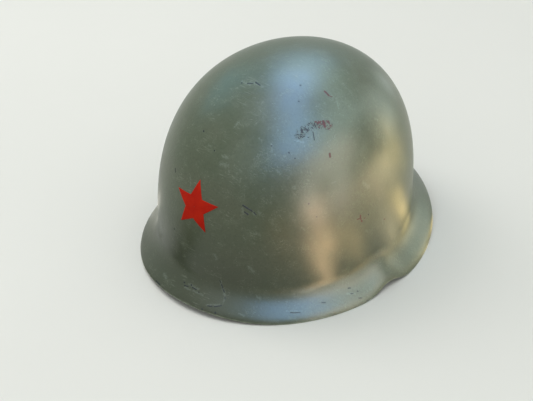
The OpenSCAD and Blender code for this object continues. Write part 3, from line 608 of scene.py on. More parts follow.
def hair_scratches(at):
    scratched = None
    for turn, stretch, offset in SCRATCH_BOUTS:
        stretched = at.node("Mapping", {0: at, 2: (0.3, 0.2, math.radians(turn)),
                                        3: (1 / stretch, 1.0, 1.0)})
        line = abs(stretched.noise(2.2, 1, 0.4, offset) - 0.5)
        hair = (1 - line.between(0.0, 0.03)) * at.noise(13, 2, 0.5, offset).between(0.56, 0.66)
        scratched = hair if scratched is None else scratched | hair
    return scratched


def sound_paint(at):
    """The paint before its chips: its colour, its height, and the masks that dull its gloss."""
    clouds, mottle = at.noise(60, 3, 0.5), at.noise(9, 4, 0.6, offset=11)
    fine, scratched = at.noise(1.7, 2, 0.5, offset=3), hair_scratches(at)
    colour = clouds.between(0.36, 0.64).tint(srgb(78, 90, 69), srgb(85, 93, 73))
    colour = mottle.between(0.5, 0.75).tint(colour, srgb(102, 112, 92), 0.35)
    colour = fine.between(0.42, 0.75).tint(colour, srgb(60, 69, 53), 0.34)
    # Painted shade: the colour darkens towards the bottom of the shell, but not on its left side.
    painted_shade = (1 - (at.part(2) + clouds * 30 - 15).between(14, 92)) * 0.55
    painted_shade = painted_shade * (1 - at.part(0).between(30, 100))
    colour = painted_shade.tint(colour, srgb(50, 55, 40))
    colour = scratched.tint(colour, srgb(150, 160, 140), 0.24)
    dust = at.noise(1.3, 2, 0.5, offset=83).between(0.62, 0.70) * mottle.between(0.42, 0.6)
    colour = dust.tint(colour, srgb(158, 166, 148), 0.16)
    cells = {"Vector": at, "Scale": 1 / SPECK_CELL, "Randomness": 1.0}
    to_speck, chance = at.node("TexVoronoi", cells), at.node("TexVoronoi", cells, out=1)
    lucky = chance.node("SeparateColor", {0: chance}).between(0.90, 0.93)
    speck = (1 - (to_speck * SPECK_CELL + fine * 0.5).between(0.45, 0.75)) * lucky
    colour = speck.tint(colour, srgb(52, 58, 52), 0.75)
    return colour, scratched * -0.4 - speck, mottle, scratched


# %% [markdown]
# The listed marks are read back from the mesh here. A noise is added to the distance from each
# stroke, which makes its edge ragged, as flaked paint is. The pale scuffs get a stronger noise, so
# they break up into smudges. In the spray, a noise stretched across the path breaks it into chips,
# and the chips thin out away from the path.

# %% Marks on the paint
SPRAY_REACH, SPRAY_SHIFT, RUSTED_FROM = 4.6, 1.5, 4      # mm, mm, and a stop of the path


def stroke_mask(finish, key, ragged, soft=0.35):
    """1 on the strokes and 0 away from them, with an edge that a noise makes ragged."""
    nearest = None
    for k in range(LAYERS[key]):
        place_on = finish.kept(f"{key}_{k}", 1)
        past_end = (abs(place_on.part(0)) - place_on.part(2)) | 0.0
        across = place_on.part(1)
        gap = (past_end * past_end + across * across).math("SQRT")
        nearest = gap if nearest is None else nearest.math("MINIMUM", gap)
    return 1 - (nearest + ragged).between(1 - soft, 1 + soft)


def spray_masks(finish):
    """The chips of the spray, and those of them that have rusted."""
    at, beside = finish.at, finish.kept("spray", 1)
    along, across = beside.part(0), beside.part(1)
    length, rusted_from = spray_stops[-1], spray_stops[RUSTED_FROM]
    near = 1 - abs(across + SPRAY_SHIFT) * (1 / SPRAY_REACH)
    near = near * (along.between(-2, 1) * (1 - along.between(length, length + 2)))
    dashes = at.node("CombineXYZ", {0: along, 1: across * 0.4})
    chips = dashes.noise(0.8, 2, 0.6, offset=71) + near * 0.13
    sprayed = chips.between(0.59, 0.65) * near.between(0.0, 0.35)
    turned = along.between(rusted_from - 3, rusted_from + 3)
    return sprayed, sprayed * turned * at.noise(1.6, 2, 0.5, 37).between(0.42, 0.5)


def marked_paint(finish, colour, height):
    """Lays the marks on a colour and a height, and gives the mask of what is bare as well."""
    at = finish.at
    ragged = at.noise(0.9, 3, 0.7, offset=7) * 1.6 - 0.8
    smudged = ragged * 2.0 + at.noise(1.3, 3, 0.7, offset=93) * 5.0 - 2.2
    sprayed, sprayed_rust = spray_masks(finish)
    pale = stroke_mask(finish, "pale", smudged, 0.9)
    dark = stroke_mask(finish, "dark", ragged) | sprayed
    rust = stroke_mask(finish, "rust", ragged) | sprayed_rust
    colour = pale.tint(colour, srgb(140, 154, 142), 0.26)
    colour = dark.tint(colour, srgb(26, 30, 36), 0.92)
    rusted = at.noise(1.2, 3, 0.6, offset=51).tint(srgb(44, 9, 5), srgb(98, 26, 12))
    colour = rust.tint(colour, rusted, 0.95)
    bare = dark | rust
    return colour, height - bare - pale * 0.2, bare


# %% [markdown]
# The rim wears most, because the helmet is set down on it. The mesh keeps each point's height
# above the rim, so the rubbed line and the chips above it follow the edge all the way round. The
# same paint without the listed marks goes on the small sleeves that are welded inside the brim.

# %% Paint finish
def paint_finish(name, marked=True):
    paint = Finish(name, specular_ior_level=0.5)
    at = paint.at
    colour, height, mottle, scratched = sound_paint(at)
    if marked:
        colour, height, bare = marked_paint(paint, colour, height)
    above, outer = paint.kept("above_rim"), paint.kept("outer_skin")
    rubbed = (1 - (above + at.noise(6, 3, 0.6, offset=23) * 1.6).between(1.0, 2.1)) * 0.8
    chipped = 1 - (above + at.noise(3.2, 4, 0.7, offset=61) * 9.0).between(3.6, 4.0)
    colour = rubbed.tint(colour, srgb(158, 168, 148))
    colour = chipped.tint(colour, srgb(88, 86, 78), 0.85)
    paint.feed("Base Color", outer.between(0.05, 0.2).tint(srgb(70, 80, 68), colour))
    roughness = 0.34 + (mottle - 0.5) * 0.14 + scratched * 0.15 + chipped * 0.1
    paint.feed("Roughness", roughness + bare * 0.45 if marked else roughness)
    paint.bumps((at.noise(2.3, 2, 0.45), 0.11, 0.6), (at.noise(0.6, 2, 0.5, 4), 0.015, 0.5),
                (height, 0.06, 0.8))
    return paint.material


shell_paint = paint_finish("satin_grey_green_paint")
place("steel_shell_skin", shell_mesh, "shell", "steel_paint", shell_paint, "steel_shell")
print("paint nodes", len(shell_paint.node_tree.nodes))

# %% [markdown]
# ## The star
#
# The star on the front is a thin plate of red paint that follows the curve. A flat star would
# leave its tips in the air, so each of its points is laid on the shell and lifted by its own
# thickness. The tips fold back to a rounded edge.

# %% Star shape
STAR_R, STAR_INNER, STAR_Z = 22, 0.45, 88
STAR_T, STAR_LIFT, STAR_FOOT, STAR_SHOULDER = 0.3, 0.12, 0.02, 0.72
STAR_STEPS, SIDE_POINTS = 14, 12


def front_reach(z):
    """How wide the dome is at a height, as a share of its full width."""
    w = waist(np.zeros_like(z))
    c = ((z - w) / (CROWN_H - w)) ** (WALL_POWER / 2)
    return (1 - c * c) ** (1 / CROWN_POWER)


def on_front(xy, lift):
    """Lays points of the flat star on the front of the shell."""
    z = STAR_Z + xy[:, 1]
    phi = np.degrees(np.arcsin(xy[:, 0] / (DOME_SIDE * front_reach(z))))
    t = t_at(phi, z)
    return shell_point(phi, t) + lift * shell_normal(phi, t)


def star_outline(per_side):
    corners = [(STAR_R * (1 if k % 2 == 0 else STAR_INNER), 90 - 36 * k) for k in range(11)]
    xy = np.array([(r * cosd(a), r * sind(a)) for r, a in corners])
    steps = np.linspace(0, 1, per_side, endpoint=False)[:, None]
    return np.concatenate([xy[k] * (1 - steps) + xy[k + 1] * steps for k in range(10)])


outline = star_outline(SIDE_POINTS)
star_rows = [on_front(outline * share, STAR_LIFT + STAR_T)
             for share in np.linspace(0.02, 0.985, STAR_STEPS)]
star_rows += [on_front(outline, STAR_LIFT + STAR_SHOULDER * STAR_T), on_front(outline, STAR_FOOT)]
star_mesh = grid_mesh("front_star_plate", np.array(star_rows), round_cols=True)
print("star", round(2 * STAR_R * cosd(18), 1), "mm wide")

# %% [markdown]
# The red paint is plain, with none of the shell's scratches. It needs only a slow change of shade,
# a few darker flecks and a soft ripple. Its sheen is low, so the cool light overhead doesn't wash
# the red out.

# %% Star enamel
red = Finish("star_enamel", specular_ior_level=0.12)
shade = red.at.noise(14, 3, 0.5).between(0.35, 0.7)
flecks = red.at.noise(1.4, 2, 0.6, 9).between(0.62, 0.75)
red_colour = shade.tint(srgb(180, 26, 5), srgb(196, 36, 8))
red.feed("Base Color", flecks.tint(red_colour, srgb(140, 16, 6), 0.5))
red.feed("Roughness", 0.5 + red.at.noise(5, 2, 0.5, 2) * 0.1)
red.bumps((red.at.noise(1.8, 2, 0.45), 0.03, 0.5))
place("front_star_plate", star_mesh, "shell", "star_paint", red.material, "front_star")

# %% [markdown]
# ## The liner
#
# Inside the steel sits a moulded liner of cloth and resin, which stops short of the rim. It
# follows the same rule as the steel, a fixed distance in, so it takes no shape of its own. Its
# finish is a dull olive resin through which the cloth's weave still shows as a fine grid.

# %% Liner
LINER_COLS, LINER_DOME_ROWS, LINER_BRIM_ROWS = 192, 44, 22
WEAVE, MEAN_RADIUS = 0.6, 100           # half a thread's spacing, and what turns an angle into mm

liner_mesh, _ = skin_mesh("liner_shell_skin", LINER_OUT, LINER_IN, LINER_COLS, LINER_DOME_ROWS,
                          LINER_BRIM_ROWS, LINER_EDGE)
resin = Finish("olive_resin_cloth", specular_ior_level=0.45)
at = resin.at
blotch, scuffs = at.noise(32, 4, 0.6).between(0.35, 0.7), at.noise(4, 3, 0.6, 6).between(0.55, 0.8)
worn_lip = 1 - (resin.kept("above_rim") + at.noise(5, 3, 0.6, 31) * 3).between(1.6, 3.4)
resin_colour = blotch.tint(srgb(92, 94, 62), srgb(78, 82, 54))
resin_colour = scuffs.tint(resin_colour, srgb(128, 126, 92), 0.35)
resin.feed("Base Color", worn_lip.tint(resin_colour, srgb(150, 142, 108), 0.7))
resin.feed("Roughness", 0.5 + at.noise(12, 3, 0.6, 3) * 0.2)
around = (at.part(0).math("ARCTAN2", at.part(1)) * MEAN_RADIUS).math("PINGPONG", WEAVE)
upward = at.part(2).math("PINGPONG", WEAVE)
resin.bumps((around | upward, 0.10, 0.35), (at.noise(3, 3, 0.5), 0.05, 0.4))
place("liner_shell_skin", liner_mesh, "liner", "liner_resin", resin.material, "liner_shell")
print("liner faces", len(liner_mesh.polygons))

# %% [markdown]
# ## Bands
#
# Webs, sweatband and straps are all bands: a line to follow, a direction across the width and one
# through the thickness. A band is drawn as a rounded slab swept along its line, and its UV map
# holds millimetres along and across, so a weave or a row of stitches can be drawn on it straight.

# %% Band helper
FACE_POINTS, ROUND_POINTS = 17, 5       # across each face of a band, and round each of its edges


def band_section():
    """The outline of a band: places across it, places through it, and how far its edges bulge."""
    steps, flat = np.linspace(-1, 1, FACE_POINTS), np.zeros(FACE_POINTS)
    side = np.ones(ROUND_POINTS)
    rounding = np.sin(np.linspace(0, np.pi, ROUND_POINTS + 2))[1:-1]
    climb = (1 - np.linspace(1, -1, ROUND_POINTS + 2)[1:-1]) / 2
    across = np.concatenate([steps, side, steps[::-1], -side, steps[:1]])
    through = np.concatenate([flat, climb, flat + 1, 1 - climb, [0.0]])
    bulge = np.concatenate([flat, rounding, flat, -rounding, [0.0]])
    return across, through, bulge


def band_mesh(name, line, wide, thick, width, depth, ring=False, swell=None, corner=0.45):
    """A rounded slab swept along a line. wide and thick are unit directions at each point."""
    line, wide, thick = (np.asarray(v, float) for v in (line, wide, thick))
    width = np.broadcast_to(width, len(line)).astype(float)
    if ring:
        line, wide, thick, width = (np.concatenate([v, v[:1]]) for v in (line, wide, thick, width))
    a, b, bulge = band_section()
    across = a * (width[:, None] / 2 - corner) + bulge * corner
    through = b * depth + (0 if swell is None else (b > 0.99) * swell(a))
    points = (line[:, None] + wide[:, None] * across[..., None]
              + thick[:, None] * through[:, None])
    along = np.concatenate([[0], np.cumsum(np.linalg.norm(np.diff(line, axis=0), axis=1))])
    uv = np.stack([np.broadcast_to(along[:, None], across.shape), across], -1)
    print(name, round(along[-1]), "mm long")
    return grid_mesh(name, points, uv=uv, caps=not ring)


def on_cloth(finish):
    """Millimetres along and across a band, as two wires."""
    both = finish.bench.node("UVMap", uv_map="cloth")
    return both.part(0), both.part(1)

# %% [markdown]
# ## Webbing
#
# The webs are cotton tape in a herringbone weave: slanting ribs that change direction in bands.
# The ribs are a sine along the tape that is shifted by a zigzag across it. A tighter edge, the
# selvage, runs along both sides. The cotton has yellowed, and is greyer where it was handled.

# %% Webbing finish
RIB, HERRINGBONE, YARN, SELVAGE = 1.3, 2.6, 0.55, 9.2      # mm; the selvage is from the middle out

web = Finish("cotton_herringbone_tape", sheen_weight=0.25, sheen_roughness=0.5,
             specular_ior_level=0.3)
along, across = on_cloth(web)
rib = ((along + across.math("PINGPONG", HERRINGBONE)) * (2 * math.pi / RIB)).math("SINE")
yarn = (across * (2 * math.pi / YARN)).math("SINE")
selvage = abs(across).between(SELVAGE, SELVAGE + 0.6)
age, handled = web.at.noise(22, 4, 0.6).between(0.35, 0.7), web.at.noise(5, 4, 0.65, 8)
web_colour = age.tint(srgb(158, 148, 112), srgb(134, 126, 96))
web_colour = (rib.between(-0.9, 0.6) * -0.32 + 0.32).tint(web_colour, srgb(84, 78, 54))
web_colour = handled.between(0.55, 0.8).tint(web_colour, srgb(104, 96, 72), 0.4)
web.feed("Base Color", web_colour)
web.feed("Roughness", 0.82 + age * 0.1)
web.bumps((rib * 0.7 + yarn * 0.3 + selvage * 0.6, 0.12, 0.8),
          (web.at.noise(0.5, 2, 0.6), 0.05, 0.4))
print("webbing nodes", len(web.material.node_tree.nodes))

# %% [markdown]
# ## Three webs under the crown
#
# The head hangs in these webs, which keep it off the liner. They cross under the crown one upon
# another, so each lies a little lower than the last, and they run down the wall to six rivets.
# Each has its own twist on the way: it leaves the crown along its own line and lies flat against
# the curved wall where it ends. So each half is swept from the crown down to its rivet.

# %% Where the webs lie
RIVET_Z, CROWN_SPACE, CROWN_GAP = 66, 18, 0.7
WEB_T, CROWN_WEB_W, CROWN_WEB_STEPS = 1.2, 22, 60
HEAD_WEB_H, HEAD_WEB_BOW, HEAD_WEB_TILT, STRAP_SEAT, BAND_GAP = 24, 4, 2.2, 0.9, 0.35
RIVET_AZ = (26, 90, 154, 206, 270, 334)
HEAD_LO_Z, HEAD_HI_Z = RIVET_Z - HEAD_WEB_H / 2, RIVET_Z + HEAD_WEB_H / 2
HEAD_LO_IN = STRAP_SEAT + WEB_T + BAND_GAP
HEAD_HI_IN = HEAD_LO_IN + HEAD_WEB_TILT
CROWN_TOP = CROWN_H - LINER_IN - CROWN_SPACE


def wall_point(phi, z, inset):
    """A place on the liner's inner wall at a height, moved in by an inset."""
    p = shell_point(phi, t_at(phi, z)) - (LINER_IN + np.asarray(inset))[..., None] * outward(phi)
    return np.stack([p[..., 0], p[..., 1], np.broadcast_to(z, p[..., 0].shape)], -1)


def phi_toward(az):
    """The shell's own angle for a compass direction seen from the middle of the helmet."""
    return np.degrees(np.arctan2(sind(az) / DOME_SIDE, cosd(az) / reach(az)))


def crown_reach(az):
    side, ahead = DOME_SIDE - LINER_IN - STRAP_SEAT, reach(az) - LINER_IN - STRAP_SEAT
    return 1 / np.sqrt((sind(az) / side) ** 2 + (cosd(az) / ahead) ** 2)


print("webs lie", CROWN_SPACE, "mm under the liner's crown")


# %% Crown webs
def half_web(turn, top, side):
    """One half of a web, from the crown down: its line, and directions across and through."""
    w, far, n = waist(phi_toward(turn)), crown_reach(turn), outward(phi_toward(turn))
    last = np.degrees(np.arccos(((HEAD_LO_Z - w) / (top - w)) ** (WALL_POWER / 2)))
    a = last * np.linspace(0, 1, CROWN_WEB_STEPS)

    def face(depth):
        out = (far - depth) * sind(a) ** (2 / CROWN_POWER)
        z = w + (top - depth - w) * cosd(a) ** (2 / WALL_POWER)
        return np.stack([out * sind(turn), DOME_Y - out * cosd(turn), z], -1)

    twist = (np.degrees(np.arctan2(n[0], -n[1])) - turn + 540) % 360 - 180
    facing = turn + twist * smooth(sind(a) ** (2 / CROWN_POWER))
    wide = side * np.stack([cosd(facing), sind(facing), 0 * facing], -1)
    return face(0), wide, unit(face(WEB_T) - face(0))


def crown_web(name, az, layer, node):
    """One of the three tapes that cross under the crown and run down to the rivets."""
    top = CROWN_TOP - layer * (WEB_T + CROWN_GAP)
    halves = half_web(az + 180, top, -1), half_web(az, top, 1)
    line, wide, thick = (np.concatenate([far[:0:-1], near]) for far, near in zip(*halves))
    mesh = band_mesh(name, line, wide, thick, CROWN_WEB_W, WEB_T)
    return place(name, mesh, "liner", "webbing", web.material, node)


crown_web("crown_tape_front_left", RIVET_AZ[0], 0, "crown_web_front_left")
crown_web("crown_tape_side", RIVET_AZ[1], 1, "crown_web_side")
crown_web("crown_tape_front_right", RIVET_AZ[5], 2, "crown_web_front_right")

# %% [markdown]
# ## The webs round the head and behind the neck
#
# The head web is a ring held at the six rivets. Between two rivets it bows away from the wall,
# and it leans in towards its upper edge, as the head does. The nape web is a shorter one behind
# the neck, held at three rivets. Both are swept along lines that are worked out from the wall.

# %% Head web
HEAD_WEB_STEPS = 216


def az_of(phi):
    p = shell_point(phi, 1.0) - np.array([0, DOME_Y, 0])
    return np.degrees(np.arctan2(p[..., 0], -p[..., 1]))


def bow_at(phi):
    """How far the web bows between its rivets: 0 at each rivet, and 1 half way to the next."""
    a = from_front(az_of(phi))
    front, side, rear = RIVET_AZ[:3]
    x = np.select([a < front, a < side, a < rear],
                  [(front - a) / (2 * front), (a - front) / (side - front),
                   (a - side) / (rear - side)], (a - rear) / (2 * (180 - rear)))
    return np.sin(np.pi * x) ** 2


around_phi = np.linspace(0, 360, HEAD_WEB_STEPS, endpoint=False)
bow = HEAD_WEB_BOW * bow_at(around_phi)
lower = wall_point(around_phi, HEAD_LO_Z, HEAD_LO_IN + bow)
upper = wall_point(around_phi, HEAD_HI_Z, HEAD_HI_IN + bow)
mesh = band_mesh("head_tape", (lower + upper) / 2, unit(upper - lower), -outward(around_phi),
                 np.linalg.norm(upper - lower, axis=1), WEB_T, ring=True)
place("head_tape", mesh, "liner", "webbing", web.material, "head_web")

# %% Nape web
NAPE_AT, NAPE_END, NAPE_BELOW, NAPE_MID_Z = 132, 7, 2, 49.5
NAPE_IN, NAPE_BOW, NAPE_H, NAPE_STEPS = 0.6, 6, 14, 81
UP = np.array([0.0, 0.0, 1.0])

nape_phi = np.linspace(NAPE_AT - NAPE_END, 360 - NAPE_AT + NAPE_END, NAPE_STEPS)
from_rivet = np.maximum(from_front(nape_phi) - NAPE_AT, 0)
nape_bow = NAPE_BOW * np.sin(np.pi * from_rivet / (180 - NAPE_AT)) ** 2
nape_line = wall_point(nape_phi, NAPE_MID_Z, NAPE_IN + nape_bow)
nape_line[:, 2] = HEAD_LO_Z - NAPE_BELOW - NAPE_H / 2
mesh = band_mesh("nape_tape", nape_line, np.broadcast_to(UP, nape_line.shape),
                 -outward(nape_phi), NAPE_H, WEB_T)
place("nape_tape", mesh, "liner", "webbing", web.material, "nape_web")

# %% [markdown]
# ## Leather
#
# The sweatband and the chin strap are leather. Its grain is small cells between creases, with
# larger folds where it bends, and sweat and handling have darkened it in patches. A sewn piece
# has rows of stitches, each a pale dash that ends in a needle hole. A strap has burnished edges
# with a groove beside them. One function takes what differs, since the hide is the same.

# %% Edges and stitches
STITCH = 1.8                            # mm, half the way from one needle hole to the next
THREAD, NEEDLE_HOLE = srgb(190, 170, 120), srgb(30, 20, 14)


def darker(colour, share):
    return srgb(*[c * share for c in colour])


def folded_edge(across, edge_at, dark, colour, height):
    """Burnishes a strap's edges and presses a groove beside each."""
    from_middle = abs(across)
    burnish = from_middle.between(edge_at - 0.2, edge_at + 0.4)
    groove = 1 - abs(from_middle - (edge_at - 1.6)).between(0.1, 0.4)
    colour = burnish.tint(colour, darker(dark, 0.45), 0.8)
    return groove.tint(colour, darker(dark, 0.5), 0.5), height - groove * 1.2


def stitched(along, across, rows, colour, height):
    """Sews rows of stitches, each so far from the middle of the band."""
    sewn = None
    for row in rows:
        off = abs(across - row)
        dash = (along.math("PINGPONG", STITCH) - 0.45).between(0.0, 0.25)
        stitch = (1 - off.between(0.25, 0.5)) * dash
        hole = (1 - off.between(0.3, 0.55)) * (1 - dash)
        sewn = stitch if sewn is None else sewn | stitch
        height = height + stitch * 3.0 - hole * 2.0
        colour = hole.tint(colour, NEEDLE_HOLE, 0.8)
    return sewn.tint(colour, THREAD), height


# %% Leather finish
CELL = 1.1                              # mm across a cell of the grain


def leather_finish(name, light, dark, crease, stitches=(), edge_at=None, shine=0.48):
    hide = Finish(name, specular_ior_level=0.45)
    at, (along, across) = hide.at, on_cloth(hide)
    cells = at.node("TexVoronoi", {"Vector": at, "Scale": 1 / CELL}, feature="DISTANCE_TO_EDGE")
    grain = cells.between(0.0, 0.22)
    folds = abs(at.noise(crease, 4, 0.65, 3) - 0.5).between(0.0, 0.05)
    tone = at.noise(26, 4, 0.6, 2).between(0.33, 0.68)
    colour = tone.tint(srgb(*light), srgb(*dark))
    colour = (1 - folds).tint(colour, darker(dark, 0.55), 0.4)
    colour = (1 - grain).tint(colour, darker(dark, 0.6), 0.30)
    height = grain * 0.5 + folds * 0.8
    if edge_at:
        colour, height = folded_edge(across, edge_at, dark, colour, height)
    if stitches:
        colour, height = stitched(along, across, stitches, colour, height)
    hide.feed("Base Color", colour)
    hide.feed("Roughness", shine + tone * 0.14 + (1 - grain) * 0.12)
    hide.bumps((height, 0.10, 0.8), (at.noise(0.35, 2, 0.6), 0.03, 0.4))
    print(name, "nodes", len(hide.material.node_tree.nodes))
    return hide.material


# %% [markdown]
# ## The sweatband
#
# The sweatband is leather over a thin pad, so it swells towards the head between its two sewn
# edges. A swept band with a swell does this exactly, and a cloth simulation would only blur its
# edges. The swell stays a little inside the solid's own padded middle.

# %% Sweatband
SWEAT_H, SWEAT_T, SWEAT_PAD, SLIDE_WALL = 36, 2.4, 1.6, 1
SEAM_IN, PAD_SHARE, PAD_INSIDE, SWEAT_STEPS = 2.6, 0.86, 0.15, 360
SWEAT_IN = HEAD_HI_IN + HEAD_WEB_BOW + WEB_T + SLIDE_WALL + 2 * BAND_GAP
seam = SWEAT_H / 2 - SEAM_IN


def pad_swell(a):
    """How far the pad swells the leather, none at the sewn edges and most between them."""
    inner = clip01((PAD_SHARE - np.abs(a)) / PAD_SHARE)
    return (SWEAT_PAD - PAD_INSIDE) * np.sin(np.pi / 2 * clip01(inner * 1.25)) ** 0.8


sweat_leather = leather_finish("sweatband_leather", (140, 94, 58), (96, 60, 38), 9, (-seam, seam))
sweat_phi = np.linspace(0, 360, SWEAT_STEPS, endpoint=False)
sweat_line = wall_point(sweat_phi, HEAD_HI_Z, SWEAT_IN)
sweat_line[:, 2] = HEAD_HI_Z - SWEAT_H / 2
mesh = band_mesh("sweatband_pad", sweat_line, np.broadcast_to(UP, sweat_line.shape),
                 -outward(sweat_phi), SWEAT_H, SWEAT_T, ring=True, swell=pad_swell, corner=0.9)
sweatband = place("sweatband_pad", mesh, "liner", "sweat_leather", sweat_leather, "sweatband")

# %% [markdown]
# ## The chin strap
#
# The strap is stowed under the visor, as helmets are kept. It hangs from a stud at each side, runs
# in towards the chin, and its free tail lies on the short strap at the left, where a buckle and a
# leather loop hold it. It is drawn flat as a U and then turned up, the way the real one is turned.

# %% Measures of the strap
STRAP_W, STRAP_T, STUD_Z, STRAP_LEG, STRAP_CURVE = 15, 2, 34, 60, 34
LEAN, STRAIGHT, BEND, STRAP_START, TAIL_FROM, LAYER_GAP = 42, 18, 20, 9, 35, 0.2
SEAT, FLANGE_T, HOOK_T, FLOOR_GAP = 0.15, 2, 1.2, 0.3
HOOK_IN = LINER_IN + 2 * SEAT + FLANGE_T + LAYER_GAP
STRAP_MID = HOOK_IN + HOOK_T + LAYER_GAP + STRAP_T / 2
BEND_END = STRAIGHT + BEND * math.radians(LEAN)
LEG_END = BEND_END + STRAP_LEG
CURVE_END = LEG_END + STRAP_CURVE * math.radians(90 - LEAN)
BEND_C = np.array([DOME_SIDE - STRAP_MID - BEND, -STRAIGHT])
LEG_TOP = BEND_C + BEND * np.array([cosd(LEAN), -sind(LEAN)])
CURVE_C = (LEG_TOP - STRAP_LEG * np.array([sind(LEAN), cosd(LEAN)])
           - STRAP_CURVE * np.array([cosd(LEAN), -sind(LEAN)]))
HALF_LEN = CURVE_END + CURVE_C[0]
STRAP_DEPTH = STRAP_CURVE - CURVE_C[1]
STOW = math.degrees(math.asin((STUD_Z - FLOOR_GAP)
                              / math.hypot(STRAP_DEPTH + STRAP_T / 2, STRAP_W / 2))
                    - math.atan(STRAP_W / 2 / (STRAP_DEPTH + STRAP_T / 2)))
print("strap half length", round(HALF_LEN, 2), "mm, stowed at", round(STOW, 3), "degrees")


# %% Strap line
def strap_at(d):
    """x, y and heading of the strap's line, a distance down from the stud."""
    d = np.asarray(d, float)
    stretch = [d < STRAIGHT, d < BEND_END, d < LEG_END, d < CURVE_END]
    bend = np.degrees((d - STRAIGHT) / BEND)
    curve = LEAN + np.degrees((d - LEG_END) / STRAP_CURVE)
    x = np.select(stretch, [0 * d + DOME_SIDE - STRAP_MID, BEND_C[0] + BEND * cosd(bend),
                            LEG_TOP[0] - (d - BEND_END) * sind(LEAN),
                            CURVE_C[0] + STRAP_CURVE * cosd(curve)], CURVE_C[0] - (d - CURVE_END))
    y = np.select(stretch, [-d, BEND_C[1] - BEND * sind(bend),
                            LEG_TOP[1] - (d - BEND_END) * cosd(LEAN),
                            CURVE_C[1] - STRAP_CURVE * sind(curve)], 0 * d - STRAP_DEPTH)
    return x, y, np.select(stretch, [0 * d, bend, 0 * d + LEAN, curve], 0 * d + 90)


def stowed(p):
    """From the flat drawing of the strap to its place under the visor."""
    p = np.asarray(p, float)
    y = DOME_Y + cosd(STOW) * p[..., 1] - sind(STOW) * p[..., 2]
    z = STUD_Z + sind(STOW) * p[..., 1] + cosd(STOW) * p[..., 2]
    return np.stack([p[..., 0], y, z], -1)


def strap_side(distances, mirrored, shift):
    """A line down one side, moved out by a shift, and its outward direction.

    mirrored is 1 for the wearer's left and -1 for the right.
    """
    x, y, heading = strap_at(distances)
    out = np.stack([mirrored * cosd(heading), -sind(heading), 0 * x], -1)
    flat = np.stack([mirrored * x, y, 0 * x], -1) + out * (shift - STRAP_T / 2)[:, None]
    return stowed(flat), stowed(flat + out) - stowed(flat)


# %% [markdown]
# Both leathers are cut from one hide, so they share a finish. The long one runs from the right
# stud round the visor, and its tail climbs over the short one by one thickness.

# %% Straps
BUCKLE_AT = 70


def strap_piece(name, line, thick, node):
    wide = np.broadcast_to([0.0, -sind(STOW), cosd(STOW)], line.shape)
    mesh = band_mesh(name, line, wide, thick, STRAP_W, STRAP_T, corner=0.5)
    return place(name, mesh, "chin_strap", "strap_leather", strap_leather, node)


strap_leather = leather_finish("chin_strap_leather", (112, 70, 42), (74, 45, 29), 12,
                               edge_at=STRAP_W / 2 - 0.5, shine=0.42)
right = np.linspace(STRAP_START, HALF_LEN, 90)
left = np.linspace(HALF_LEN, TAIL_FROM, 80)[1:]
tail = (STRAP_T + LAYER_GAP) * smooth((CURVE_END - left) / (CURVE_END - LEG_END))
sides = strap_side(right, -1, 0 * right), strap_side(left, 1, tail)
line, thick = (np.concatenate(pair) for pair in zip(*sides))
strap_piece("chin_strap_main", line, thick, "chin_strap_long")

short = np.linspace(STRAP_START, BUCKLE_AT + 2, 50)
strap_piece("chin_strap_buckle_end", *strap_side(short, 1, 0 * short), "chin_strap_short")

# %% [markdown]
# ## The keeper
#
# The keeper is a small leather loop round both layers of strap. Its line is a rectangle with
# rounded corners, drawn square to the strap, and the band helper sweeps the leather round it.

# %% Keeper
KEEPER_AT, KEEPER_LEN, KEEPER_T, KEEPER_ROOM = 48, 5, 1.2, 0.3
LOOP_CORNER, CORNER_POINTS = 0.5, 6
PAIR_T = 2 * STRAP_T + LAYER_GAP
out_of_leg, down_leg = np.array([cosd(LEAN), -sind(LEAN), 0]), np.array([sind(LEAN), cosd(LEAN), 0])

turns = np.concatenate([np.linspace(a, a + 90, CORNER_POINTS) for a in (0, 90, 180, 270)])
signs = np.repeat([(1, 1), (-1, 1), (-1, -1), (1, -1)], CORNER_POINTS, axis=0)
faces = np.stack([cosd(turns), sind(turns)], -1)
half = np.array([PAIR_T, STRAP_W]) / 2 + KEEPER_ROOM
loop = signs * (half - LOOP_CORNER) + faces * LOOP_CORNER
axes = np.array([out_of_leg, UP])
keeper_x, keeper_y, _ = strap_at(KEEPER_AT)
centre = np.array([keeper_x, keeper_y, 0]) + out_of_leg * (STRAP_T + LAYER_GAP) / 2
line = stowed(centre + loop @ axes)
thick = stowed(centre + (loop + faces) @ axes) - line
wide = np.broadcast_to(stowed(down_leg) - stowed([0, 0, 0]), line.shape)
mesh = band_mesh("strap_loop", line, wide, thick, KEEPER_LEN, KEEPER_T, ring=True, corner=0.4)
loop_leather = leather_finish("strap_loop_leather", (104, 64, 40), (70, 42, 28), 8, (-1.5, 1.5),
                              shine=0.42)
place("strap_loop", mesh, "keeper", "strap_leather", loop_leather, "strap_keeper")

# %% [markdown]
# ## Metal fittings
#
# The rivets, washers, clips, studs, hooks, buckle and bales keep their solids, since these are
# already true to shape, and get finishes of their own. Plated steel is dull and cloudy with small
# rust spots. The buckle is brass gone brown. The sleeves inside the brim were sprayed with the shell.

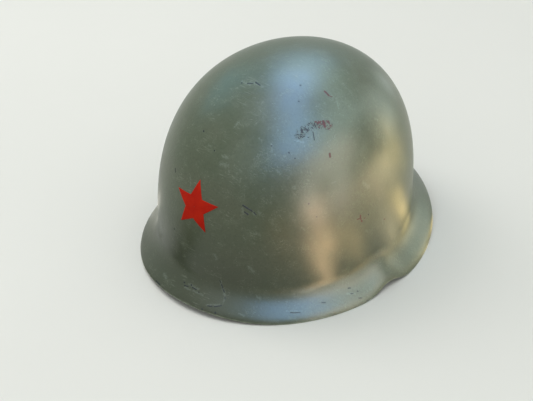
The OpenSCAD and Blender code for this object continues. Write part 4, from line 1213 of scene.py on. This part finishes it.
# %% Metal finishes
def metal_finish(name, bright, dull, rust_share, rough):
    metal = Finish(name, metallic=1.0)
    at = metal.at
    cloud = at.noise(3.5, 4, 0.6).between(0.35, 0.7)
    colour = cloud.tint(srgb(*bright), srgb(*dull))
    lines = at.node("Mapping", {0: at, 3: (6.0, 6.0, 0.6)}).noise(1.2, 2, 0.5, 4)
    colour = lines.between(0.5, 0.8).tint(colour, srgb(*dull), 0.3)
    rust = at.noise(1.8, 4, 0.7, 13).between(1 - rust_share, 1 - rust_share + 0.08)
    rusted = at.noise(0.8, 2, 0.6).tint(srgb(84, 46, 26), srgb(132, 78, 44))
    metal.feed("Base Color", rust.tint(colour, rusted))
    metal.feed("Metallic", 1 - rust * 0.9)
    metal.feed("Roughness", rough + cloud * 0.18 + rust * 0.4 + lines * 0.08)
    metal.bumps((lines, 0.02, 0.4), (rust, 0.05, 0.6), (at.noise(1.4, 3, 0.6, 2), 0.03, 0.4))
    return metal.material


zinc = metal_finish("dull_zinc_plate", (146, 148, 144), (106, 108, 104), 0.34, 0.36)
wire_steel = metal_finish("bale_wire_steel", (128, 130, 126), (84, 86, 82), 0.42, 0.34)
brass = metal_finish("browned_brass", (176, 146, 88), (112, 88, 54), 0.26, 0.30)
black_steel = metal_finish("blacked_washer_steel", (86, 88, 84), (52, 54, 52), 0.40, 0.40)
bracket_paint = paint_finish("bracket_paint", marked=False)
finishes = {
    "bale_brackets": bracket_paint, "bale_left": wire_steel, "bale_right": wire_steel,
    "head_rivets": zinc, "nape_rivets": zinc, "a_washers": black_steel,
    "nape_washers": black_steel, "sweatband_clips": zinc, "sweatband_slide": zinc,
    "chin_studs": zinc, "strap_hook_left": zinc, "strap_hook_right": zinc, "hook_rivets": zinc,
    "buckle_frame": brass, "buckle_pin": zinc, "buckle_lever": brass}
for name, finish in finishes.items():
    mesh = nodes[name].data
    mesh.materials.clear()
    mesh.materials.append(finish)
print("fittings dressed", len(finishes))

# %% [markdown]
# ## Floor
#
# The helmet stands on a plain pale floor. The floor has no sheen of its own, or it would show the
# glowing cards that come further down. To the camera it is a neutral pale grey, and the light that
# it throws back up at the helmet is warmer. The Light Path node tells the two kinds of ray apart.

# %% Floor
FLOOR, DIFFUSE_RAY = 4.0, 2             # half its width in metres, and an output of Light Path

floor_mesh = bpy.data.meshes.new("floor")
floor_mesh.from_pydata([(x * FLOOR, y * FLOOR, 0) for x, y in ((-1, -1), (1, -1), (1, 1), (-1, 1))],
                       [], [(0, 1, 2, 3)])
floor = bpy.data.objects.new("floor", floor_mesh)
bpy.context.scene.collection.objects.link(floor)
floor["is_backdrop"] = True
floor_finish = Finish("pale_floor", roughness=0.9, specular_ior_level=0.0)
floor_colour = floor_finish.at.noise(420, 3, 0.5).tint(srgb(226, 226, 223), srgb(232, 232, 229))
gathering = floor_finish.bench.node("LightPath", out=DIFFUSE_RAY)
floor_finish.feed("Base Color", gathering.tint(floor_colour, srgb(150, 142, 128)))
floor_mesh.materials.append(floor_finish.material)
print("floor", 2 * FLOOR, "m wide")

# %% [markdown]
# ## Two soft lamps
#
# Satin paint shows two things at once: how bright each part is lit, and what it mirrors. They are
# kept apart here. Two large soft lamps light everything and cast the shadow, and most of what the
# paint mirrors comes after them. An azimuth of 0 is ahead of the helmet, and 90 is at its left.
# The names go by the sides of the picture, where the helmet's left is at the right.

# %% Lamps that light everything
SOFT_AWAY = 1.9


def panel(name, azimuth, elevation, distance, across, tall, colour, power):
    """A soft panel light that faces the helmet. Angles are in degrees, lengths in metres."""
    a, e = math.radians(azimuth), math.radians(elevation)
    away = Vector((math.sin(a) * math.cos(e), -math.cos(a) * math.cos(e), math.sin(e)))
    lamp = bpy.data.lights.new(name, "AREA")
    lamp.shape, lamp.size, lamp.size_y = "RECTANGLE", across, tall
    lamp.color, lamp.energy = colour, power
    lit = bpy.data.objects.new(name, lamp)
    lit.rotation_mode = "QUATERNION"
    lit.location = AIM + away * distance
    lit.rotation_quaternion = away.to_track_quat("Z", "Y")
    bpy.context.scene.collection.objects.link(lit)
    return lit


panel("soft_top", 0, 89, SOFT_AWAY, 1.6, 1.6, (0.92, 1.0, 0.97), 9)
soft_left = panel("soft_left", -75, 50, SOFT_AWAY, 1.0, 1.0, (1.0, 0.98, 0.94), 9)
soft_left.visible_glossy = False

# %% [markdown]
# ## Glints
#
# These panels add no diffuse light. They are only seen as reflections in the helmet, as soft
# sheens that show how the dome and the brim turn. Their diffuse light is turned off, and only the
# helmet's pieces are linked to them, so the floor gets nothing from them either.

# %% Panels that only the paint reflects
GLINT_AWAY = 0.8
GLINTS = [
    ("right_level", 95, 22, 0.6, 0.3, (1.0, 0.88, 0.74), 3.4),
    ("right_high", 120, 42, 0.7, 0.4, (0.72, 1.0, 0.98), 2.7),
    ("rear_right", 157, 12, 0.25, 0.4, (0.84, 1.0, 0.92), 0.85),
    ("front_high", 9, 34, 0.5, 0.4, (0.92, 1.0, 1.0), 0.55),
    ("left_high", -95, 38, 0.5, 0.4, (0.2, 0.7, 1.0), 0.8),
    ("rear_high", -171, 55, 0.6, 0.4, (0.70, 1.0, 0.84), 1.7)]

helmet_only = bpy.data.collections.new("helmet_only")
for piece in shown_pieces():
    helmet_only.objects.link(piece)
for name, azimuth, elevation, across, tall, colour, power in GLINTS:
    glint = panel(name, azimuth, elevation, GLINT_AWAY, across, tall, colour, power)
    glint.visible_diffuse = False
    glint.light_linking.receiver_collection = helmet_only

# %% [markdown]
# ## Glowing cards
#
# A panel light is one even rectangle, and some reflections in the paint taper or fade at one end.
# Those come from cards: flat sheets that glow, each with edges that fade as its UV map says.
# Cards are hidden from the camera and from every ray but glossy ones. They are drawn as four
# corners, so a card can lie overhead, open out over the floor, or stand upright.

# %% The glow of a card
def card_glow(name, colour, strength, ends, side):
    glow = bpy.data.materials.new(name)
    glow.use_nodes = True
    tree = glow.node_tree
    tree.nodes.remove(tree.nodes["Principled BSDF"])
    bench, (start, fade) = Wire(tree), ends
    both = bench.node("UVMap", uv_map="card")
    u, v = both.part(0), both.part(1)
    within = 1 - abs(v - 0.5).between(0.5 - side, 0.5)
    edge = within * u.between(0.0, start) * (1 - u.between(1 - fade, 1.0))
    shown = bench.node("MixShader", {0: edge, 1: bench.node("BsdfTransparent"),
                                     2: bench.node("Emission", {0: (*colour, 1), 1: strength})})
    tree.links.new(shown.socket, tree.nodes["Material Output"].inputs["Surface"])
    return glow


# %% Cards and their corners
CARD_LIFT = 0.5                         # mm above the floor


def card(name, corners, colour, strength, ends, side):
    """A soft-edged glow on a flat card. It lights nothing but the glossy reflections.

    The four corners are in millimetres, two at its start and two at its far end. ends says how
    much of its length it takes to brighten at its start and to fade at its far end, and side how
    much of its width is edge.
    """
    mesh = bpy.data.meshes.new(name)
    mesh.from_pydata([tuple(c * MM for c in corner) for corner in corners], [], [(0, 1, 2, 3)])
    mesh.uv_layers.new(name="card").data.foreach_set("uv", [0, 0, 0, 1, 1, 1, 1, 0])
    lit = bpy.data.objects.new(name, mesh)
    bpy.context.scene.collection.objects.link(lit)
    lit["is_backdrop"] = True
    lit.visible_camera = lit.visible_diffuse = lit.visible_shadow = lit.visible_transmission = False
    mesh.materials.append(card_glow(name, colour, strength, ends, side))


def fan(azimuth, half, near, far, low=CARD_LIFT, high=CARD_LIFT):
    """The corners of a card that opens away from the helmet, or stands up round it."""
    return [(sind(a) * r, -cosd(a) * r, z) for a, r, z in
            ((azimuth - half, near, low), (azimuth + half, near, low),
             (azimuth + half, far, high), (azimuth - half, far, high))]


# %% [markdown]
# The cool window hangs overhead and makes the long sheen that runs down the dome. It has two
# halves that run different ways from one shared edge, so the sheen can bend there, and a dimmer
# end beyond the far half.

# %% Window overhead
WINDOW_Z, AT_ONCE = 1580, 0.001         # mm, and a fade too short to see
WINDOW = [
    ("window_near", [(-170, -120), (530, 420), (2900, -150), (1500, -2350)], (0.33, 0.57, 1.0),
     10.0, (AT_ONCE, 0.25), 0.30),
    ("window_far", [(-170, -120), (530, 420), (-180, 1560), (-1450, 1000)], (0.30, 0.52, 1.0),
     11.5, (AT_ONCE, 0.3), 0.42),
    ("window_end", [(-1270, 860), (-160, 1340), (-400, 2900), (-2700, 1900)], (0.42, 0.66, 1.0),
     4.4, (0.15, 0.3), 0.42)]
for name, plan, colour, strength, ends, side in WINDOW:
    card(name, [(x, y, WINDOW_Z) for x, y in plan], colour, strength, ends, side)
print("window cards", len(WINDOW))

# %% [markdown]
# Seen from above, steep paint mirrors the floor, so the warm lights low on the shell are pools
# that lie there, most of them at the helmet's left. Each row says which way a pool lies, half its
# angle, where it starts and ends in millimetres, its colour and its strength. The dark flag
# darkens what one stretch at the front mirrors. The uprights stand further out, and are mirrored
# by paint that faces a little higher. Each of their rows has a height in place of two distances.

# %% Pools, flag and uprights
POOLS = [
    ("left_edge", -66, 9, 112, 195, (1.0, 0.98, 0.88), 1.7),
    ("front_far", 12, 12, 350, 1500, (1.0, 0.85, 0.70), 1.4),
    ("front_warm", 42, 12, 150, 900, (1.0, 0.62, 0.30), 2.0),
    ("column_near", 65, 7, 120, 260, (1.0, 0.69, 0.40), 15.5),
    ("column_middle", 73, 7, 150, 300, (1.0, 0.67, 0.37), 15.0),
    ("column_far", 73, 6, 270, 1200, (1.0, 0.67, 0.45), 52.0),
    ("right_near", 88, 13, 120, 300, (1.0, 0.76, 0.40), 5.6),
    ("right_far", 90, 11, 260, 1200, (1.0, 0.80, 0.66), 11.0),
    ("right_middle", 103, 13, 130, 900, (1.0, 0.75, 0.42), 6.4),
    ("rear_right_far", 116, 12, 150, 1200, (1.0, 0.77, 0.48), 9.6),
    ("right_rim", 113, 15, 95, 240, (1.0, 0.86, 0.52), 4.0),
    ("rear_near", 130, 12, 110, 280, (1.0, 0.78, 0.36), 4.6),
    ("rear_far", 131, 12, 230, 1200, (1.0, 0.81, 0.45), 16.5),
    ("rear_side", 144, 9, 200, 1200, (1.0, 0.80, 0.36), 6.0)]
UPRIGHT_AWAY = 900
UPRIGHTS = [
    ("upright_column", 72, 6, 330, (1.0, 0.96, 0.86), 14.0),
    ("upright_right", 98, 10, 330, (1.0, 1.0, 0.86), 8.0),
    ("upright_rear", 150, 7, 300, (1.0, 0.86, 0.50), 8.5),
    ("upright_back", 181, 9, 260, (0.90, 1.0, 0.96), 2.6)]
SOFT_SIDE = 0.45

for name, azimuth, half, near, far, colour, strength in POOLS:
    card("pool_" + name, fan(azimuth, half, near, far), colour, strength, (0.25, 0.35), SOFT_SIDE)
card("dark_flag", fan(-26, 16, 115, 420), (0, 0, 0), 0.0, (0.2, 0.4), SOFT_SIDE)
for name, azimuth, half, top, colour, strength in UPRIGHTS:
    card(name, fan(azimuth, half, UPRIGHT_AWAY, UPRIGHT_AWAY, 0, top), colour, strength,
         (AT_ONCE, 0.4), SOFT_SIDE)
print("pools", len(POOLS), "uprights", len(UPRIGHTS))

# %% [markdown]
# ## Surroundings
#
# The surroundings are an even pale grey and fill the shadows with soft light. The Standard view
# shows colours about as they are written.

# %% Surroundings
world = bpy.data.worlds.new("pale_room")
bpy.context.scene.world = world
world.use_nodes = True
room = world.node_tree.nodes["Background"]
room.inputs["Color"].default_value = (0.98, 1.0, 0.97, 1)
room.inputs["Strength"].default_value = 0.68
bpy.context.scene.view_settings.view_transform = "Standard"
